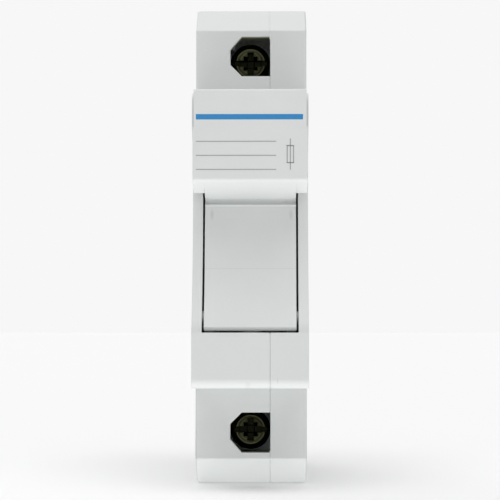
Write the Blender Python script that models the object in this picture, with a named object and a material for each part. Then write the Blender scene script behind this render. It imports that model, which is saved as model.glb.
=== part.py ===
"""A fuse holder one module wide for a 35 mm rail, with a swinging carrier for a 10.3 x 38 mm link.

Frame: the origin is the middle of the face that lies on the rail. X runs to the right as seen from
the front, Y runs back towards the rail, Z runs up. Depths are measured back from the front face.
"""

from math import asin, atan2, cos, degrees, pi, radians, sin, sqrt, tan

import bmesh
import bpy
from mathutils import Vector

MM = 0.001

# Fuse link
FUSE_DIAMETER = 10.3 * MM
FUSE_LENGTH = 38.0 * MM
CAP_LENGTH = 10.0 * MM
CAP_SHEET = 0.3 * MM
CAP_EDGE = 0.5 * MM
TUBE_STEP = 0.2 * MM

# Walls and clearances
WALL = 1.6 * MM
RIB = 1.4 * MM
SEAT = 0.3 * MM
SEAM_GAP = 0.12 * MM
SMALL_EDGE = 0.4 * MM

# Housing, seen from the front
TERMINAL_RISE = 7.25 * MM
SHOULDER_MARGIN = 4.3 * MM
END_SLOPE_RISE = 4.05 * MM
SCREW_X = -0.175 * MM

# Housing, seen from the side
SHOULDER_TO_RAIL = 44.0 * MM
NOSE_PROJECTION = 17.0 * MM
END_SLOPE_DEPTH = 5.5 * MM
END_FACE_DEPTH = 29.5 * MM
END_ROUNDING = 1.0 * MM
LEG_RISE = 7.7 * MM
LEG_ROUNDING = 0.8 * MM
BACK_WALL = 1.1 * MM
STIFFENER_Z = 5.5 * MM

# Front of the nose
BLOCK_HEIGHT = 8.2 * MM
BLOCK_EDGE = 0.9 * MM
BLOCK_CHAMFER = 0.7 * MM
BLOCK_ROUNDING = 1.5 * MM
RECESS_DEPTH = 6.0 * MM
RECESS_DROP = 1.57 * MM
RECESS_ROUNDING = 1.6 * MM
EAR_HEIGHT = 5.35 * MM
EAR_DEPTH = 1.3 * MM
EAR_SLOPE = 4.7 * MM
EAR_ROUNDING = 1.9 * MM
EAR_FOOT_ROUNDING = 1.2 * MM
NOSE_STEP = 0.25 * MM

# Rail seat, for a rail with a 1 mm flange
RAIL_HEIGHT = 35.0 * MM
RAIL_PLAY = 0.3 * MM
RAIL_FLANGE = 1.0 * MM
HOOK_GRIP = 1.2 * MM
HOOK_PLAY = 0.6 * MM
HOOK_SLOPE_DEPTH = 2.2 * MM
HOOK_SLOPE_RISE = 1.0 * MM
RELIEF = 0.4 * MM

# Carrier
FUSE_DEPTH = 17.5 * MM
CARRIER_PLAY = 0.3 * MM
CARRIER_WALL = 1.4 * MM
CARRIER_FLOOR = 1.05 * MM
FLOOR_PLAY = 0.4 * MM
PLATE_SET = 0.3 * MM
GRIP_SET = 0.15 * MM
LABEL_HEIGHT = 13.78 * MM
LABEL_BACK = 4.2 * MM
EAR_PLAY = 0.4 * MM
GRIP_DROP = 2.3 * MM
GROOVE_DEPTH = 7.1 * MM
GROOVE_HEIGHT = 2.97 * MM
PANEL_SET = 0.15 * MM
PANEL_GAP = 0.35 * MM
LIP_ROUNDING = 0.6 * MM
PIVOT_DEPTH = 3.4 * MM
PIVOT_RISE = 2.0 * MM
PIN_RADIUS = 1.0 * MM
PIN_REACH = 0.8 * MM
CHEEK_SET = 0.05 * MM
CHEEK_BACK = 3.7 * MM
CHEEK_FRONT_GAP = 0.5 * MM
ROOF_SET = 0.3 * MM
ROOF_RIB = 1.2 * MM
ROOF_RIB_SPACING = 3.6 * MM
FLOOR_SETBACK = 1.0 * MM
BARB = 0.85 * MM
BARB_DEPTH = 1.0 * MM
BARB_INSET = 0.9 * MM
SADDLE_INSET = 3.5 * MM
SADDLE_WIDTH = 1.2 * MM
SADDLE_OPENING = 3.9 * MM

# Contacts
CONTACT_SHEET = 0.75 * MM
CONTACT_PLAY = 0.3 * MM
CONTACT_RELIEF = 1.95 * MM
CONTACT_BEND = 1.0 * MM
FORK_REACH = 1.8 * MM
FORK_MARGIN = 0.8 * MM
FORK_END = 0.4 * MM
FORK_SLIT = 0.6 * MM
TAIL_WIDTH = 6.0 * MM
TAIL_BEND = 0.9 * MM
TAIL_RISE = 1.2 * MM
SPRING_SHEET = 0.35 * MM
SPRING_HEIGHT = 5.5 * MM
SPRING_BEND = 0.8 * MM
SPRING_REACH = 0.8 * MM

# Terminals
HOLE_WIDTH = 6.25 * MM
HOLE_HEIGHT = 6.0 * MM
HOLE_CHAMFER = 1.8 * MM
HEAD_SINK = 6.5 * MM
HEAD_PLAY = 0.7 * MM
HEAD_MARGIN = 0.15 * MM
HEAD_HEIGHT = 3.0 * MM
HEAD_CHAMFER = 0.9 * MM
RECESS_SPAN = 3.6 * MM
RECESS_SLOT = 1.0 * MM
RECESS_SINK = 1.8 * MM
THREAD_DIAMETER = 5.0 * MM
THREAD_LENGTH = 11.7 * MM
TIP_CHAMFER = 0.6 * MM
WIRE_SPACE = 5.0 * MM
CAGE_PLAY = 1.5 * MM
CAGE_SIDE = 1.4 * MM
CAGE_NUT = 2.2 * MM
CAGE_FLOOR = 1.4 * MM
CAGE_RELIEF = 0.4 * MM
CAGE_BAND = 8.4 * MM
CAGE_ROOM = 1.2 * MM
CAGE_ROUNDING = 1.0 * MM
ENTRY_CORNER = 0.7 * MM
ENTRY_FUNNEL = 0.9 * MM

# Rail clip
CLIP_WIDTH = 8.2 * MM
CLIP_THICKNESS = 3.2 * MM
CLIP_LENGTH = 20.1 * MM
CLIP_RUN = 2.4 * MM
CLIP_EDGE = 0.5 * MM
CLIP_NOSE_LIP = 1.2 * MM
CLIP_NOSE_DROP = 2.0 * MM
CLIP_WINDOW_WIDTH = 3.6 * MM
CLIP_WINDOW_TOP = 2.5 * MM
CLIP_SLOT = 1.6 * MM
CLIP_FRAME = 1.6 * MM
CLIP_TAIL_BAR = 2.0 * MM
PEG_WIDTH = 2.4 * MM
PEG_HEIGHT = 1.5 * MM
COIL_DIAMETER = 2.6 * MM
COIL_WIRE = 0.4 * MM
COIL_LENGTH = 8.0 * MM
COIL_TURNS = 7

# Rivets
RIVET_DIAMETER = 2.4 * MM
RIVET_BORE = 1.4 * MM
RIVET_HEAD = 4.0 * MM
RIVET_FLANGE = 0.5 * MM
RIVET_SINK = 0.7 * MM
RIVET_EDGE = 0.2 * MM
RIVET_PLAY = 0.3 * MM
RIVET_COLLAR = 0.4 * MM
FRONT_RIVET_BACK = 2.8 * MM
FRONT_RIVET_RISE = 2.05 * MM
REAR_RIVET_BACK = 5.65 * MM
REAR_RIVET_DROP = 1.1 * MM

# Width: the link, the fork, its spring and the wall add up to a module of 17.5 mm
FUSE_RADIUS = FUSE_DIAMETER / 2
TUBE_RADIUS = FUSE_RADIUS - TUBE_STEP
INNER_X = FUSE_RADIUS + CONTACT_PLAY + CONTACT_SHEET + SPRING_SHEET + 2 * SEAT
HALF_WIDTH = INNER_X + WALL
SEAM_X = SCREW_X + HOLE_WIDTH / 2
CARRIER_X = INNER_X - CARRIER_PLAY
CHEEK_X = FUSE_RADIUS + SEAT

# Height: the link, the carrier's floor and the wall give the nose, and the terminals the rest
HALF_FUSE = FUSE_LENGTH / 2
FLOOR_TOP = HALF_FUSE + SEAT
FLOOR_Z = -FLOOR_TOP - CARRIER_FLOOR
FORK_LOW_Z = HALF_FUSE - CAP_LENGTH + FORK_MARGIN
HALF_NOSE = FLOOR_TOP + CARRIER_FLOOR + FLOOR_PLAY + WALL
TAIL_Z = HALF_FUSE + TAIL_RISE + CONTACT_SHEET / 2
TERMINAL_Z = HALF_NOSE + TERMINAL_RISE
PARTITION_Z = TERMINAL_Z - CAGE_BAND / 2 - CAGE_ROOM
HALF_SHOULDER = TERMINAL_Z + SHOULDER_MARGIN
HALF_BODY = HALF_SHOULDER + END_SLOPE_RISE
HALF_RAIL = RAIL_HEIGHT / 2 + RAIL_PLAY
GRIP_Z = RAIL_HEIGHT / 2 - HOOK_GRIP
TRAVEL_EDGE = HALF_RAIL + CLIP_RUN
HALF_LEG = HALF_RAIL + LEG_RISE
EAR_BOTTOM_Z = HALF_NOSE - EAR_HEIGHT
LABEL_BOTTOM_Z = HALF_NOSE - LABEL_HEIGHT
RECESS_TOP_Z = LABEL_BOTTOM_Z - RECESS_DROP
PANEL_TOP_Z = LABEL_BOTTOM_Z - GROOVE_HEIGHT
BLOCK_TOP_Z = BLOCK_HEIGHT - HALF_NOSE
PIVOT_Z = BLOCK_TOP_Z + PANEL_GAP + PIVOT_RISE
SADDLE_Z = HALF_FUSE - CAP_LENGTH - SADDLE_INSET
WINDOW_TOP_Z = -GRIP_Z - CLIP_WINDOW_TOP
PEG_TOP_Z = WINDOW_TOP_Z - COIL_LENGTH - 2 * SEAT

# Depth: from the rail to the front, and from the shoulders back to the clamps
SHOULDER_Y = -SHOULDER_TO_RAIL
FRONT_Y = SHOULDER_Y - NOSE_PROJECTION
END_Y = SHOULDER_Y + END_SLOPE_DEPTH
END_BACK_Y = END_Y + END_FACE_DEPTH
CLIP_Y = RAIL_FLANGE + HOOK_PLAY
CLIP_BACK_Y = CLIP_Y + CLIP_THICKNESS
LEG_Y = CLIP_BACK_Y + SEAT + BACK_WALL
FORK_FRONT_DEPTH = FUSE_DEPTH - FORK_REACH
FORK_BACK_DEPTH = FUSE_DEPTH + FUSE_RADIUS + CONTACT_RELIEF
CHAMBER_DEPTH = FORK_BACK_DEPTH + CONTACT_SHEET + SPRING_SHEET + 2 * SEAT
HEAD_Y = SHOULDER_Y + HEAD_SINK
TUNNEL_Y = HEAD_Y - HEAD_PLAY
TIP_Y = HEAD_Y + HEAD_HEIGHT + THREAD_LENGTH
BAR_Y = TIP_Y + SEAT
FLOOR_Y = BAR_Y + CONTACT_SHEET + WIRE_SPACE
CAGE_FRONT_Y = BAR_Y - CAGE_RELIEF - CAGE_NUT
CAGE_BACK_Y = FLOOR_Y + CAGE_FLOOR
CHAMBER_BACK_Y = CAGE_BACK_Y + SEAT
FRONT_RIVET_Y = SHOULDER_Y + FRONT_RIVET_BACK
FRONT_RIVET_Z = HALF_NOSE + FRONT_RIVET_RISE
REAR_RIVET_Y = CHAMBER_BACK_Y + REAR_RIVET_BACK
REAR_RIVET_Z = TERMINAL_Z - REAR_RIVET_DROP

# How far a cutter runs past the solid that it cuts
OVERSHOOT = 2.0 * MM


def material(name, colour, roughness, metallic=0.0):
    """A Principled material in linear RGB."""
    made = bpy.data.materials.new(name)
    made.use_nodes = True
    shader = made.node_tree.nodes["Principled BSDF"]
    shader.inputs["Base Color"].default_value = (*colour, 1.0)
    shader.inputs["Roughness"].default_value = roughness
    shader.inputs["Metallic"].default_value = metallic
    made.diffuse_color = (*colour, 1.0)
    return made


def depth(value):
    """The Y of a depth behind the front face."""
    return FRONT_Y + value


def arc(centre, radius, start, end, steps):
    """Points on an arc in a plane, angles in degrees."""
    turn = [radians(start + (end - start) * i / steps) for i in range(steps + 1)]
    return [(centre[0] + radius * cos(a), centre[1] + radius * sin(a)) for a in turn]


def rounded(corners, step=22.5):
    """A closed outline from (a, b, radius) corners, each turned into an arc."""
    points = []
    for i, (a, b, radius) in enumerate(corners):
        here = Vector((a, b))
        before = Vector(corners[i - 1][:2]) - here
        after = Vector(corners[(i + 1) % len(corners)][:2]) - here
        corner = before.angle(after)
        if radius <= 0 or pi - corner < 0.02:
            points.append((a, b))
            continue
        reach = min(radius / tan(corner / 2), 0.48 * before.length, 0.48 * after.length)
        radius = reach * tan(corner / 2)
        middle = here + (before.normalized() + after.normalized()).normalized() * radius / sin(corner / 2)
        start = here + before.normalized() * reach - middle
        end = here + after.normalized() * reach - middle
        first = degrees(atan2(start.y, start.x))
        sweep = (degrees(atan2(end.y, end.x)) - first + 180) % 360 - 180
        points += arc(middle, radius, first, first + sweep, max(1, round(abs(sweep) / step)))
    return points


def sheet(path, thickness, bend, step=22.5):
    """The outline of a strip of sheet metal bent along a path of corners, centre line given."""
    line = [Vector(path[0])]
    for before, here, after in zip(path, path[1:], path[2:]):
        into = (Vector(here) - Vector(before)).normalized()
        out = (Vector(after) - Vector(here)).normalized()
        angle = into.angle_signed(out)
        reach = bend * tan(abs(angle) / 2)
        count = max(1, round(degrees(abs(angle)) / step))
        side = -1 if angle > 0 else 1
        middle = Vector(here) - into * reach + Vector((-into.y, into.x)) * bend * side
        spoke = Vector(here) - into * reach - middle
        first = atan2(spoke.y, spoke.x)
        for i in range(count + 1):
            turn = first - angle * i / count
            line.append(middle + bend * Vector((cos(turn), sin(turn))))
    line.append(Vector(path[-1]))
    left, right = [], []
    for i, point in enumerate(line):
        along = (line[min(i + 1, len(line) - 1)] - line[max(i - 1, 0)]).normalized()
        across = Vector((-along.y, along.x)) * thickness / 2
        left.append(tuple(point + across))
        right.append(tuple(point - across))
    return left + right[::-1]


def inset(corners, distance):
    """A convex outline moved inwards by a distance; corners run anticlockwise."""
    moved = []
    for i, corner in enumerate(corners):
        here = Vector(corner)
        into = (here - Vector(corners[i - 1])).normalized()
        out = (Vector(corners[(i + 1) % len(corners)]) - here).normalized()
        normals = Vector((-into.y, into.x)), Vector((-out.y, out.x))
        middle = (normals[0] + normals[1]).normalized()
        moved.append(tuple(here + middle * distance / middle.dot(normals[0])))
    return moved


def mirrored(outline):
    """The outline with its second coordinate turned over."""
    return [(a, -b) for a, b in outline[::-1]]


def at_axis(axis, along, a, b):
    """A point from its place along an axis and its two coordinates across it."""
    return {"X": (along, a, b), "Y": (a, along, b), "Z": (a, b, along)}[axis]


def finished(name, shape, finish):
    """An object from a bmesh, with its faces pointing out and its round faces smooth."""
    bmesh.ops.remove_doubles(shape, verts=shape.verts, dist=1e-7)
    bmesh.ops.recalc_face_normals(shape, faces=shape.faces)
    mesh = bpy.data.meshes.new(name)
    shape.to_mesh(mesh)
    shape.free()
    mesh.shade_smooth()
    mesh.set_sharp_from_angle(angle=radians(30))
    made = bpy.data.objects.new(name, mesh)
    bpy.context.scene.collection.objects.link(made)
    if finish:
        mesh.materials.append(finish)
    return made


def prism(name, outline, low, high, axis="X", finish=None):
    """An outline pushed along an axis from low to high."""
    shape = bmesh.new()
    face = shape.faces.new([shape.verts.new(at_axis(axis, low, a, b)) for a, b in outline])
    grown = bmesh.ops.extrude_face_region(shape, geom=[face])
    raised = [part for part in grown["geom"] if isinstance(part, bmesh.types.BMVert)]
    bmesh.ops.translate(shape, verts=raised, vec=at_axis(axis, high - low, 0, 0))
    return finished(name, shape, finish)


def tapered(name, start, end, low, high, axis="X", finish=None):
    """A solid between two outlines of as many points, one at low and one at high."""
    shape = bmesh.new()
    loops = []
    for outline, along in ((start, low), (end, high)):
        loops.append([shape.verts.new(at_axis(axis, along, a, b)) for a, b in outline])
        shape.faces.new(loops[-1])
    for i in range(len(start)):
        shape.faces.new((loops[0][i - 1], loops[0][i], loops[1][i], loops[1][i - 1]))
    return finished(name, shape, finish)


def block(name, x, y, z, finish=None):
    """A box from three pairs of limits."""
    corners = [(y[0], z[0]), (y[1], z[0]), (y[1], z[1]), (y[0], z[1])]
    return prism(name, corners, x[0], x[1], "X", finish)


def turned(name, profile, centre, axis, finish=None, steps=32):
    """A profile of (along, radius) points turned a full round about an axis."""
    shape = bmesh.new()
    origin = Vector(centre)
    spoke = {"X": Vector((0, 1, 0)), "Y": Vector((1, 0, 0)), "Z": Vector((1, 0, 0))}[axis]
    shaft = Vector(at_axis(axis, 1, 0, 0))
    verts = [shape.verts.new(origin + shaft * along + spoke * radius) for along, radius in profile]
    closed = profile[0][1] > 0
    pairs = list(zip(verts, verts[1:] + (verts[:1] if closed else [])))
    edges = [shape.edges.new(pair) for pair in pairs]
    bmesh.ops.spin(
        shape, geom=verts + edges, cent=origin, axis=shaft, angle=2 * pi, steps=steps, use_merge=True
    )
    return finished(name, shape, finish)


def hidden(cutter):
    """Marks an object as a cutter, which is no part of the model."""
    cutter.hide_render = True
    cutter.display_type = "WIRE"
    return cutter


def combine(body, tool, operation):
    """Adds or removes one solid by a Boolean that stays on the object."""
    step = body.modifiers.new(tool.name, "BOOLEAN")
    step.operation = operation
    step.object = hidden(tool)
    step.solver = "EXACT"


def cut(body, *tools):
    for tool in tools:
        combine(body, tool, "DIFFERENCE")


def join(body, *tools):
    for tool in tools:
        combine(body, tool, "UNION")


PLASTIC = material("housing_plastic", (0.66, 0.67, 0.66), 0.42)
CERAMIC = material("fuse_ceramic", (0.82, 0.80, 0.74), 0.35)
SILVER = material("silvered_copper", (0.80, 0.79, 0.76), 0.28, 1.0)
STEEL = material("spring_steel", (0.42, 0.43, 0.45), 0.32, 1.0)
ZINC = material("zinc_plating", (0.62, 0.64, 0.66), 0.34, 1.0)
BRASS = material("yellow_passivation", (0.60, 0.50, 0.24), 0.32, 1.0)
NYLON = material("clip_plastic", (0.60, 0.61, 0.60), 0.45)


def recess_radius():
    """The radius of the concave front, which ends upright at its top."""
    rise = RECESS_TOP_Z - BLOCK_TOP_Z
    return (rise**2 + RECESS_DEPTH**2) / (2 * RECESS_DEPTH)


def recess_curve(offset, low_z, high_z, steps=10):
    """The concave front moved back by an offset, from low_z up to high_z, as (y, z)."""
    radius = recess_radius() + offset
    centre_y = depth(RECESS_DEPTH) - recess_radius()
    heights = [low_z + (high_z - low_z) * i / steps for i in range(steps + 1)]
    return [(centre_y + sqrt(radius**2 - (RECESS_TOP_Z - z) ** 2), z) for z in heights]


def side_outline():
    """The side of the housing, anticlockwise from the foot of the nose's front."""
    bottom = rounded(
        [
            (depth(0), 0, 0),
            (depth(0), -HALF_NOSE, BLOCK_ROUNDING),
            (SHOULDER_Y, -HALF_NOSE, 0),
            (SHOULDER_Y, -HALF_SHOULDER, SMALL_EDGE),
            (END_Y, -HALF_BODY, SMALL_EDGE),
            (END_BACK_Y, -HALF_BODY, END_ROUNDING),
            (LEG_Y, -HALF_LEG, LEG_ROUNDING),
            (LEG_Y, -TRAVEL_EDGE, 0),
            (-RELIEF, -TRAVEL_EDGE, 0),
            (-RELIEF, -GRIP_Z, 0),
            (0, -GRIP_Z, 0),
            (0, 0, 0),
        ]
    )[1:-1]
    nose_top = HALF_NOSE - NOSE_STEP
    top = rounded(
        [
            (0, 0, 0),
            (0, GRIP_Z, 0),
            (-RELIEF, GRIP_Z, 0),
            (-RELIEF, HALF_RAIL, 0),
            (CLIP_Y, HALF_RAIL, 0),
            (CLIP_Y, GRIP_Z, 0),
            (LEG_Y - HOOK_SLOPE_DEPTH, GRIP_Z, SMALL_EDGE),
            (LEG_Y, HALF_RAIL + HOOK_SLOPE_RISE, SMALL_EDGE),
            (LEG_Y, HALF_LEG, LEG_ROUNDING),
            (END_BACK_Y, HALF_BODY, END_ROUNDING),
            (END_Y, HALF_BODY, SMALL_EDGE),
            (SHOULDER_Y, HALF_SHOULDER, SMALL_EDGE),
            (SHOULDER_Y, nose_top, 0),
            (depth(EAR_DEPTH), nose_top, EAR_ROUNDING),
            (depth(EAR_DEPTH), EAR_BOTTOM_Z, EAR_FOOT_ROUNDING),
            (depth(RECESS_DEPTH), EAR_BOTTOM_Z - EAR_SLOPE, RECESS_ROUNDING),
            (depth(RECESS_DEPTH), RECESS_TOP_Z, 0),
        ]
    )[1:-1]
    front = recess_curve(0, BLOCK_TOP_Z, RECESS_TOP_Z)[::-1]
    return bottom + top + front


def core_outline():
    """The hollow of the body behind the shoulders, one wall inside the outside."""
    lower = [
        (SHOULDER_Y, -HALF_SHOULDER),
        (END_Y, -HALF_BODY),
        (END_BACK_Y, -HALF_BODY),
        (LEG_Y, -HALF_LEG),
    ]
    return inset(lower + mirrored(lower), WALL)


def well_outline():
    """The fuse well: open at the front and the top of the nose, closed by the lower block."""
    floor_z = WALL - HALF_NOSE
    roof_z = HALF_NOSE + SEAT
    back = depth(CHAMBER_DEPTH)
    return [
        (depth(-OVERSHOOT), BLOCK_TOP_Z),
        (depth(BLOCK_EDGE), BLOCK_TOP_Z),
        (depth(BLOCK_EDGE + BLOCK_CHAMFER), BLOCK_TOP_Z - BLOCK_CHAMFER),
        (depth(BLOCK_EDGE + BLOCK_CHAMFER), floor_z),
        (back, floor_z),
        (back, roof_z),
        (depth(-OVERSHOOT), roof_z),
    ]


def ribs():
    """What stays solid in the hollow: name, limits in Y and limits in Z, for the upper half."""
    roof_z = HALF_NOSE + SEAT
    shelf_z = TAIL_Z - CONTACT_SHEET / 2 - SEAT
    slot_z = TAIL_Z + CONTACT_SHEET / 2 + SEAT
    back = depth(CHAMBER_DEPTH)
    far = LEG_Y + OVERSHOOT
    tail_back = BAR_Y + CONTACT_SHEET + SEAT
    tail_front = BAR_Y - SEAT
    terminal = (PARTITION_Z - SEAT, HALF_BODY)
    return [
        ("nose_root", (SHOULDER_Y, back), (roof_z, PARTITION_Z)),
        ("partition", (back - SEAT, tail_front), (slot_z, PARTITION_Z)),
        ("partition_rear", (tail_back, far), (shelf_z, PARTITION_Z)),
        ("shelf", (back, tail_back + SEAT), (shelf_z - WALL, shelf_z)),
        ("well_back", (back, back + WALL), (-OVERSHOOT, shelf_z)),
        ("tunnel", (SHOULDER_Y, TUNNEL_Y), terminal),
        ("chamber_back", (CHAMBER_BACK_Y, CHAMBER_BACK_Y + RIB), terminal),
        ("rear", (REAR_RIVET_Y - RIB / 2, REAR_RIVET_Y + RIB / 2), terminal),
        ("seat", (-WALL - RELIEF, far), (-OVERSHOOT, HALF_BODY)),
        ("stiffener", (back, -WALL), (STIFFENER_Z, STIFFENER_Z + RIB)),
    ]


def cross_ribs():
    """The middles of the ribs that divide the hollow between the fuse well and the rail seat."""
    first = depth(CHAMBER_DEPTH) + WALL
    last = -WALL - RELIEF
    return [first + (last - first) * i / 4 for i in (1, 2, 3)]


def rivet_places():
    """Name, Y and Z of each rivet."""
    return [
        ("rivet_front_upper", FRONT_RIVET_Y, FRONT_RIVET_Z),
        ("rivet_front_lower", FRONT_RIVET_Y, -FRONT_RIVET_Z),
        ("rivet_rear_upper", REAR_RIVET_Y, REAR_RIVET_Z),
        ("rivet_rear_lower", REAR_RIVET_Y, -REAR_RIVET_Z),
        ("rivet_middle", cross_ribs()[1], 0.0),
    ]


def rod(name, x, y, z, radius, steps=24):
    """A round bar along X, as a cutter or a boss."""
    half_step = 180 / steps
    return prism(name, arc((y, z), radius, half_step, 360 - half_step, steps - 1), x[0], x[1])


def cavity(name):
    """The hollow inside both shells, as one solid, the way a mould's core is made."""
    wide = (-INNER_X - OVERSHOOT, INNER_X + OVERSHOOT)
    hollow = prism(name, core_outline(), -INNER_X, INNER_X)
    for rib, y, z in ribs():
        cut(hollow, block(f"{name}_{rib}_upper", wide, y, z))
        cut(hollow, block(f"{name}_{rib}_lower", wide, y, (-z[1], -z[0])))
    for i, middle in enumerate(cross_ribs()):
        limits = (middle - RIB / 2, middle + RIB / 2)
        cut(hollow, block(f"{name}_cross_rib_{i}", wide, limits, (-HALF_FUSE, HALF_FUSE)))
    hole = RIVET_DIAMETER / 2 + RIVET_PLAY
    for place, y, z in rivet_places()[2:]:
        cut(hollow, rod(f"{name}_{place}_boss", wide, y, z, hole + RIB))
    join(hollow, prism(f"{name}_well", well_outline(), -INNER_X, INNER_X))
    for place, y, z in rivet_places()[:2]:
        cut(hollow, rod(f"{name}_{place}_boss", wide, y, z, hole + RIVET_COLLAR))
    return hollow


def chamfered_hole(half_width, half_height, chamfer, centre):
    """A hole with its two left corners cut off, closed on the right by the seam."""
    x, z = centre
    right = x + half_width
    return [
        (right, z - half_height),
        (right, z + half_height),
        (x - half_width + chamfer, z + half_height),
        (x - half_width, z + half_height - chamfer),
        (x - half_width, z - half_height + chamfer),
        (x - half_width + chamfer, z - half_height),
    ]


def entry_outline(extra):
    """The outline of a wire entry, made larger all round by an extra."""
    middle = (SCREW_X, (BAR_Y + CONTACT_SHEET + FLOOR_Y) / 2)
    return chamfered_hole(HOLE_WIDTH / 2 + extra, WIRE_SPACE / 2 + extra, ENTRY_CORNER, middle)


def shell_holes(name, low_x, high_x):
    """Cuts that both shells share: clip channel, trunnion pockets, wire funnels and rivet holes."""
    wide = (low_x - OVERSHOOT, high_x + OVERSHOOT)
    channel_x = CLIP_WIDTH / 2 + SEAT
    channel = (CLIP_Y - SEAT, CLIP_BACK_Y + SEAT)
    tools = [
        block(f"{name}_channel", (-channel_x, channel_x), channel, (-2 * HALF_BODY, RELIEF - HALF_RAIL)),
        rod(
            f"{name}_trunnion_pocket",
            (-CARRIER_X - PIN_REACH - 2 * SEAT, CARRIER_X + PIN_REACH + 2 * SEAT),
            depth(PIVOT_DEPTH),
            PIVOT_Z,
            PIN_RADIUS + SEAT,
        ),
    ]
    wide_entry = entry_outline(ENTRY_FUNNEL)
    for side, label in ((1, "upper"), (-1, "lower")):
        limits = (side * (HALF_BODY - ENTRY_FUNNEL), side * HALF_BODY)
        tools.append(tapered(f"{name}_{label}_funnel", entry_outline(0), wide_entry, *limits, "Z"))
    for place, y, z in rivet_places():
        tools.append(rod(f"{name}_{place}_hole", wide, y, z, RIVET_DIAMETER / 2 + RIVET_PLAY))
        sink = RIVET_HEAD / 2 + RIVET_PLAY
        for side in (-1, 1):
            limits = sorted((side * (HALF_WIDTH - RIVET_SINK), side * (HALF_WIDTH + OVERSHOOT)))
            tools.append(rod(f"{name}_{place}_sink_{side}", limits, y, z, sink))
    return tools


def housing_main():
    """The deep shell, with the terminal holes against the seam and the peg for the clip's spring."""
    shell = prism("housing_main", side_outline(), -HALF_WIDTH, SEAM_X - SEAM_GAP / 2, "X", PLASTIC)
    cut(shell, cavity("main_cavity"))
    cut(shell, *shell_holes("main", -HALF_WIDTH, HALF_WIDTH))
    for side, label in ((1, "upper"), (-1, "lower")):
        hole = chamfered_hole(HOLE_WIDTH / 2, HOLE_HEIGHT / 2, HOLE_CHAMFER, (SCREW_X, side * TERMINAL_Z))
        far_y = TUNNEL_Y + SEAT
        cut(shell, prism(f"{label}_screwdriver_hole", hole, SHOULDER_Y - OVERSHOOT, far_y, "Y"))
        limits = sorted((side * TERMINAL_Z, side * (HALF_BODY + OVERSHOOT)))
        cut(shell, prism(f"{label}_wire_entry", entry_outline(0), *limits, "Z"))
    peg_x = (-PEG_WIDTH / 2, PEG_WIDTH / 2)
    peg_z = (PEG_TOP_Z - PEG_HEIGHT, PEG_TOP_Z)
    join(shell, block("spring_peg", peg_x, (CLIP_Y - SEAT - WALL, CLIP_BACK_Y), peg_z))
    return shell


def housing_cover():
    """The shallow shell that closes the first one."""
    shell = prism("housing_cover", side_outline(), SEAM_X + SEAM_GAP / 2, HALF_WIDTH, "X", PLASTIC)
    cut(shell, cavity("cover_cavity"))
    cut(shell, *shell_holes("cover", -HALF_WIDTH, HALF_WIDTH))
    return shell


def under_label(value, offset=0.0):
    """The height of the label block's sloped underside at a depth, moved up by an offset."""
    return LABEL_BOTTOM_Z - GRIP_DROP * value / GROOVE_DEPTH + offset


def skin_outline():
    """The front of the carrier from the side: label block, finger groove, curved panel and lip."""
    wall = CARRIER_WALL
    roof_end = depth(NOSE_PROJECTION) - SMALL_EDGE
    lip_z = BLOCK_TOP_Z + PANEL_GAP
    outer = rounded(
        [
            (roof_end, HALF_NOSE - wall, 0),
            (roof_end, HALF_NOSE, 0),
            (depth(0), HALF_NOSE, SMALL_EDGE),
            (depth(0), LABEL_BOTTOM_Z, LIP_ROUNDING),
            (depth(GROOVE_DEPTH), under_label(GROOVE_DEPTH), SMALL_EDGE),
            (depth(GROOVE_DEPTH), PANEL_TOP_Z, SMALL_EDGE),
            (*recess_curve(PANEL_SET, PANEL_TOP_Z, PANEL_TOP_Z, 1)[0], SMALL_EDGE),
            (*recess_curve(PANEL_SET, 0, 0, 1)[0], 0),
        ]
    )[:-1]
    panel = recess_curve(PANEL_SET, lip_z + LIP_ROUNDING, PANEL_TOP_Z - SMALL_EDGE)[::-1]
    low_y = panel[-1][0]
    lip = arc((low_y + LIP_ROUNDING, lip_z + LIP_ROUNDING), LIP_ROUNDING, 180, 270, 4)
    barrel = pivot_arc(PIVOT_RISE, 270, 380, 7)
    behind = recess_curve(PANEL_SET + wall, PIVOT_Z + PIVOT_RISE - SMALL_EDGE, PANEL_TOP_Z - wall)
    inner = [
        (depth(GROOVE_DEPTH + wall), PANEL_TOP_Z - wall),
        (depth(GROOVE_DEPTH + wall), under_label(GROOVE_DEPTH + wall, wall)),
        (depth(wall), under_label(wall, wall)),
        (depth(wall), HALF_NOSE - wall),
    ]
    return outer + panel + lip + barrel + behind + inner


def pivot_arc(radius, start, end, steps=10):
    """An arc about the carrier's pivot; 0 degrees points to the back and 90 up."""
    return arc((depth(PIVOT_DEPTH), PIVOT_Z), radius, start, end, steps)


def upper_sweep():
    """How far from its pivot the carrier may reach and still swing clear of the upper fork."""
    return sqrt((FORK_FRONT_DEPTH - PIVOT_DEPTH) ** 2 + (FORK_LOW_Z - PIVOT_Z) ** 2) - SEAT


def lower_sweep():
    """How far from its pivot the carrier may reach below the lower fork's upper edge."""
    return FORK_FRONT_DEPTH - PIVOT_DEPTH - SEAT


def cheek_back_edge():
    """The lower and upper end of the cheeks' upright back edge."""
    back = FUSE_DEPTH + CHEEK_BACK - PIVOT_DEPTH
    return SEAT - FORK_LOW_Z, PIVOT_Z + sqrt(upper_sweep() ** 2 - back**2)


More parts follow.
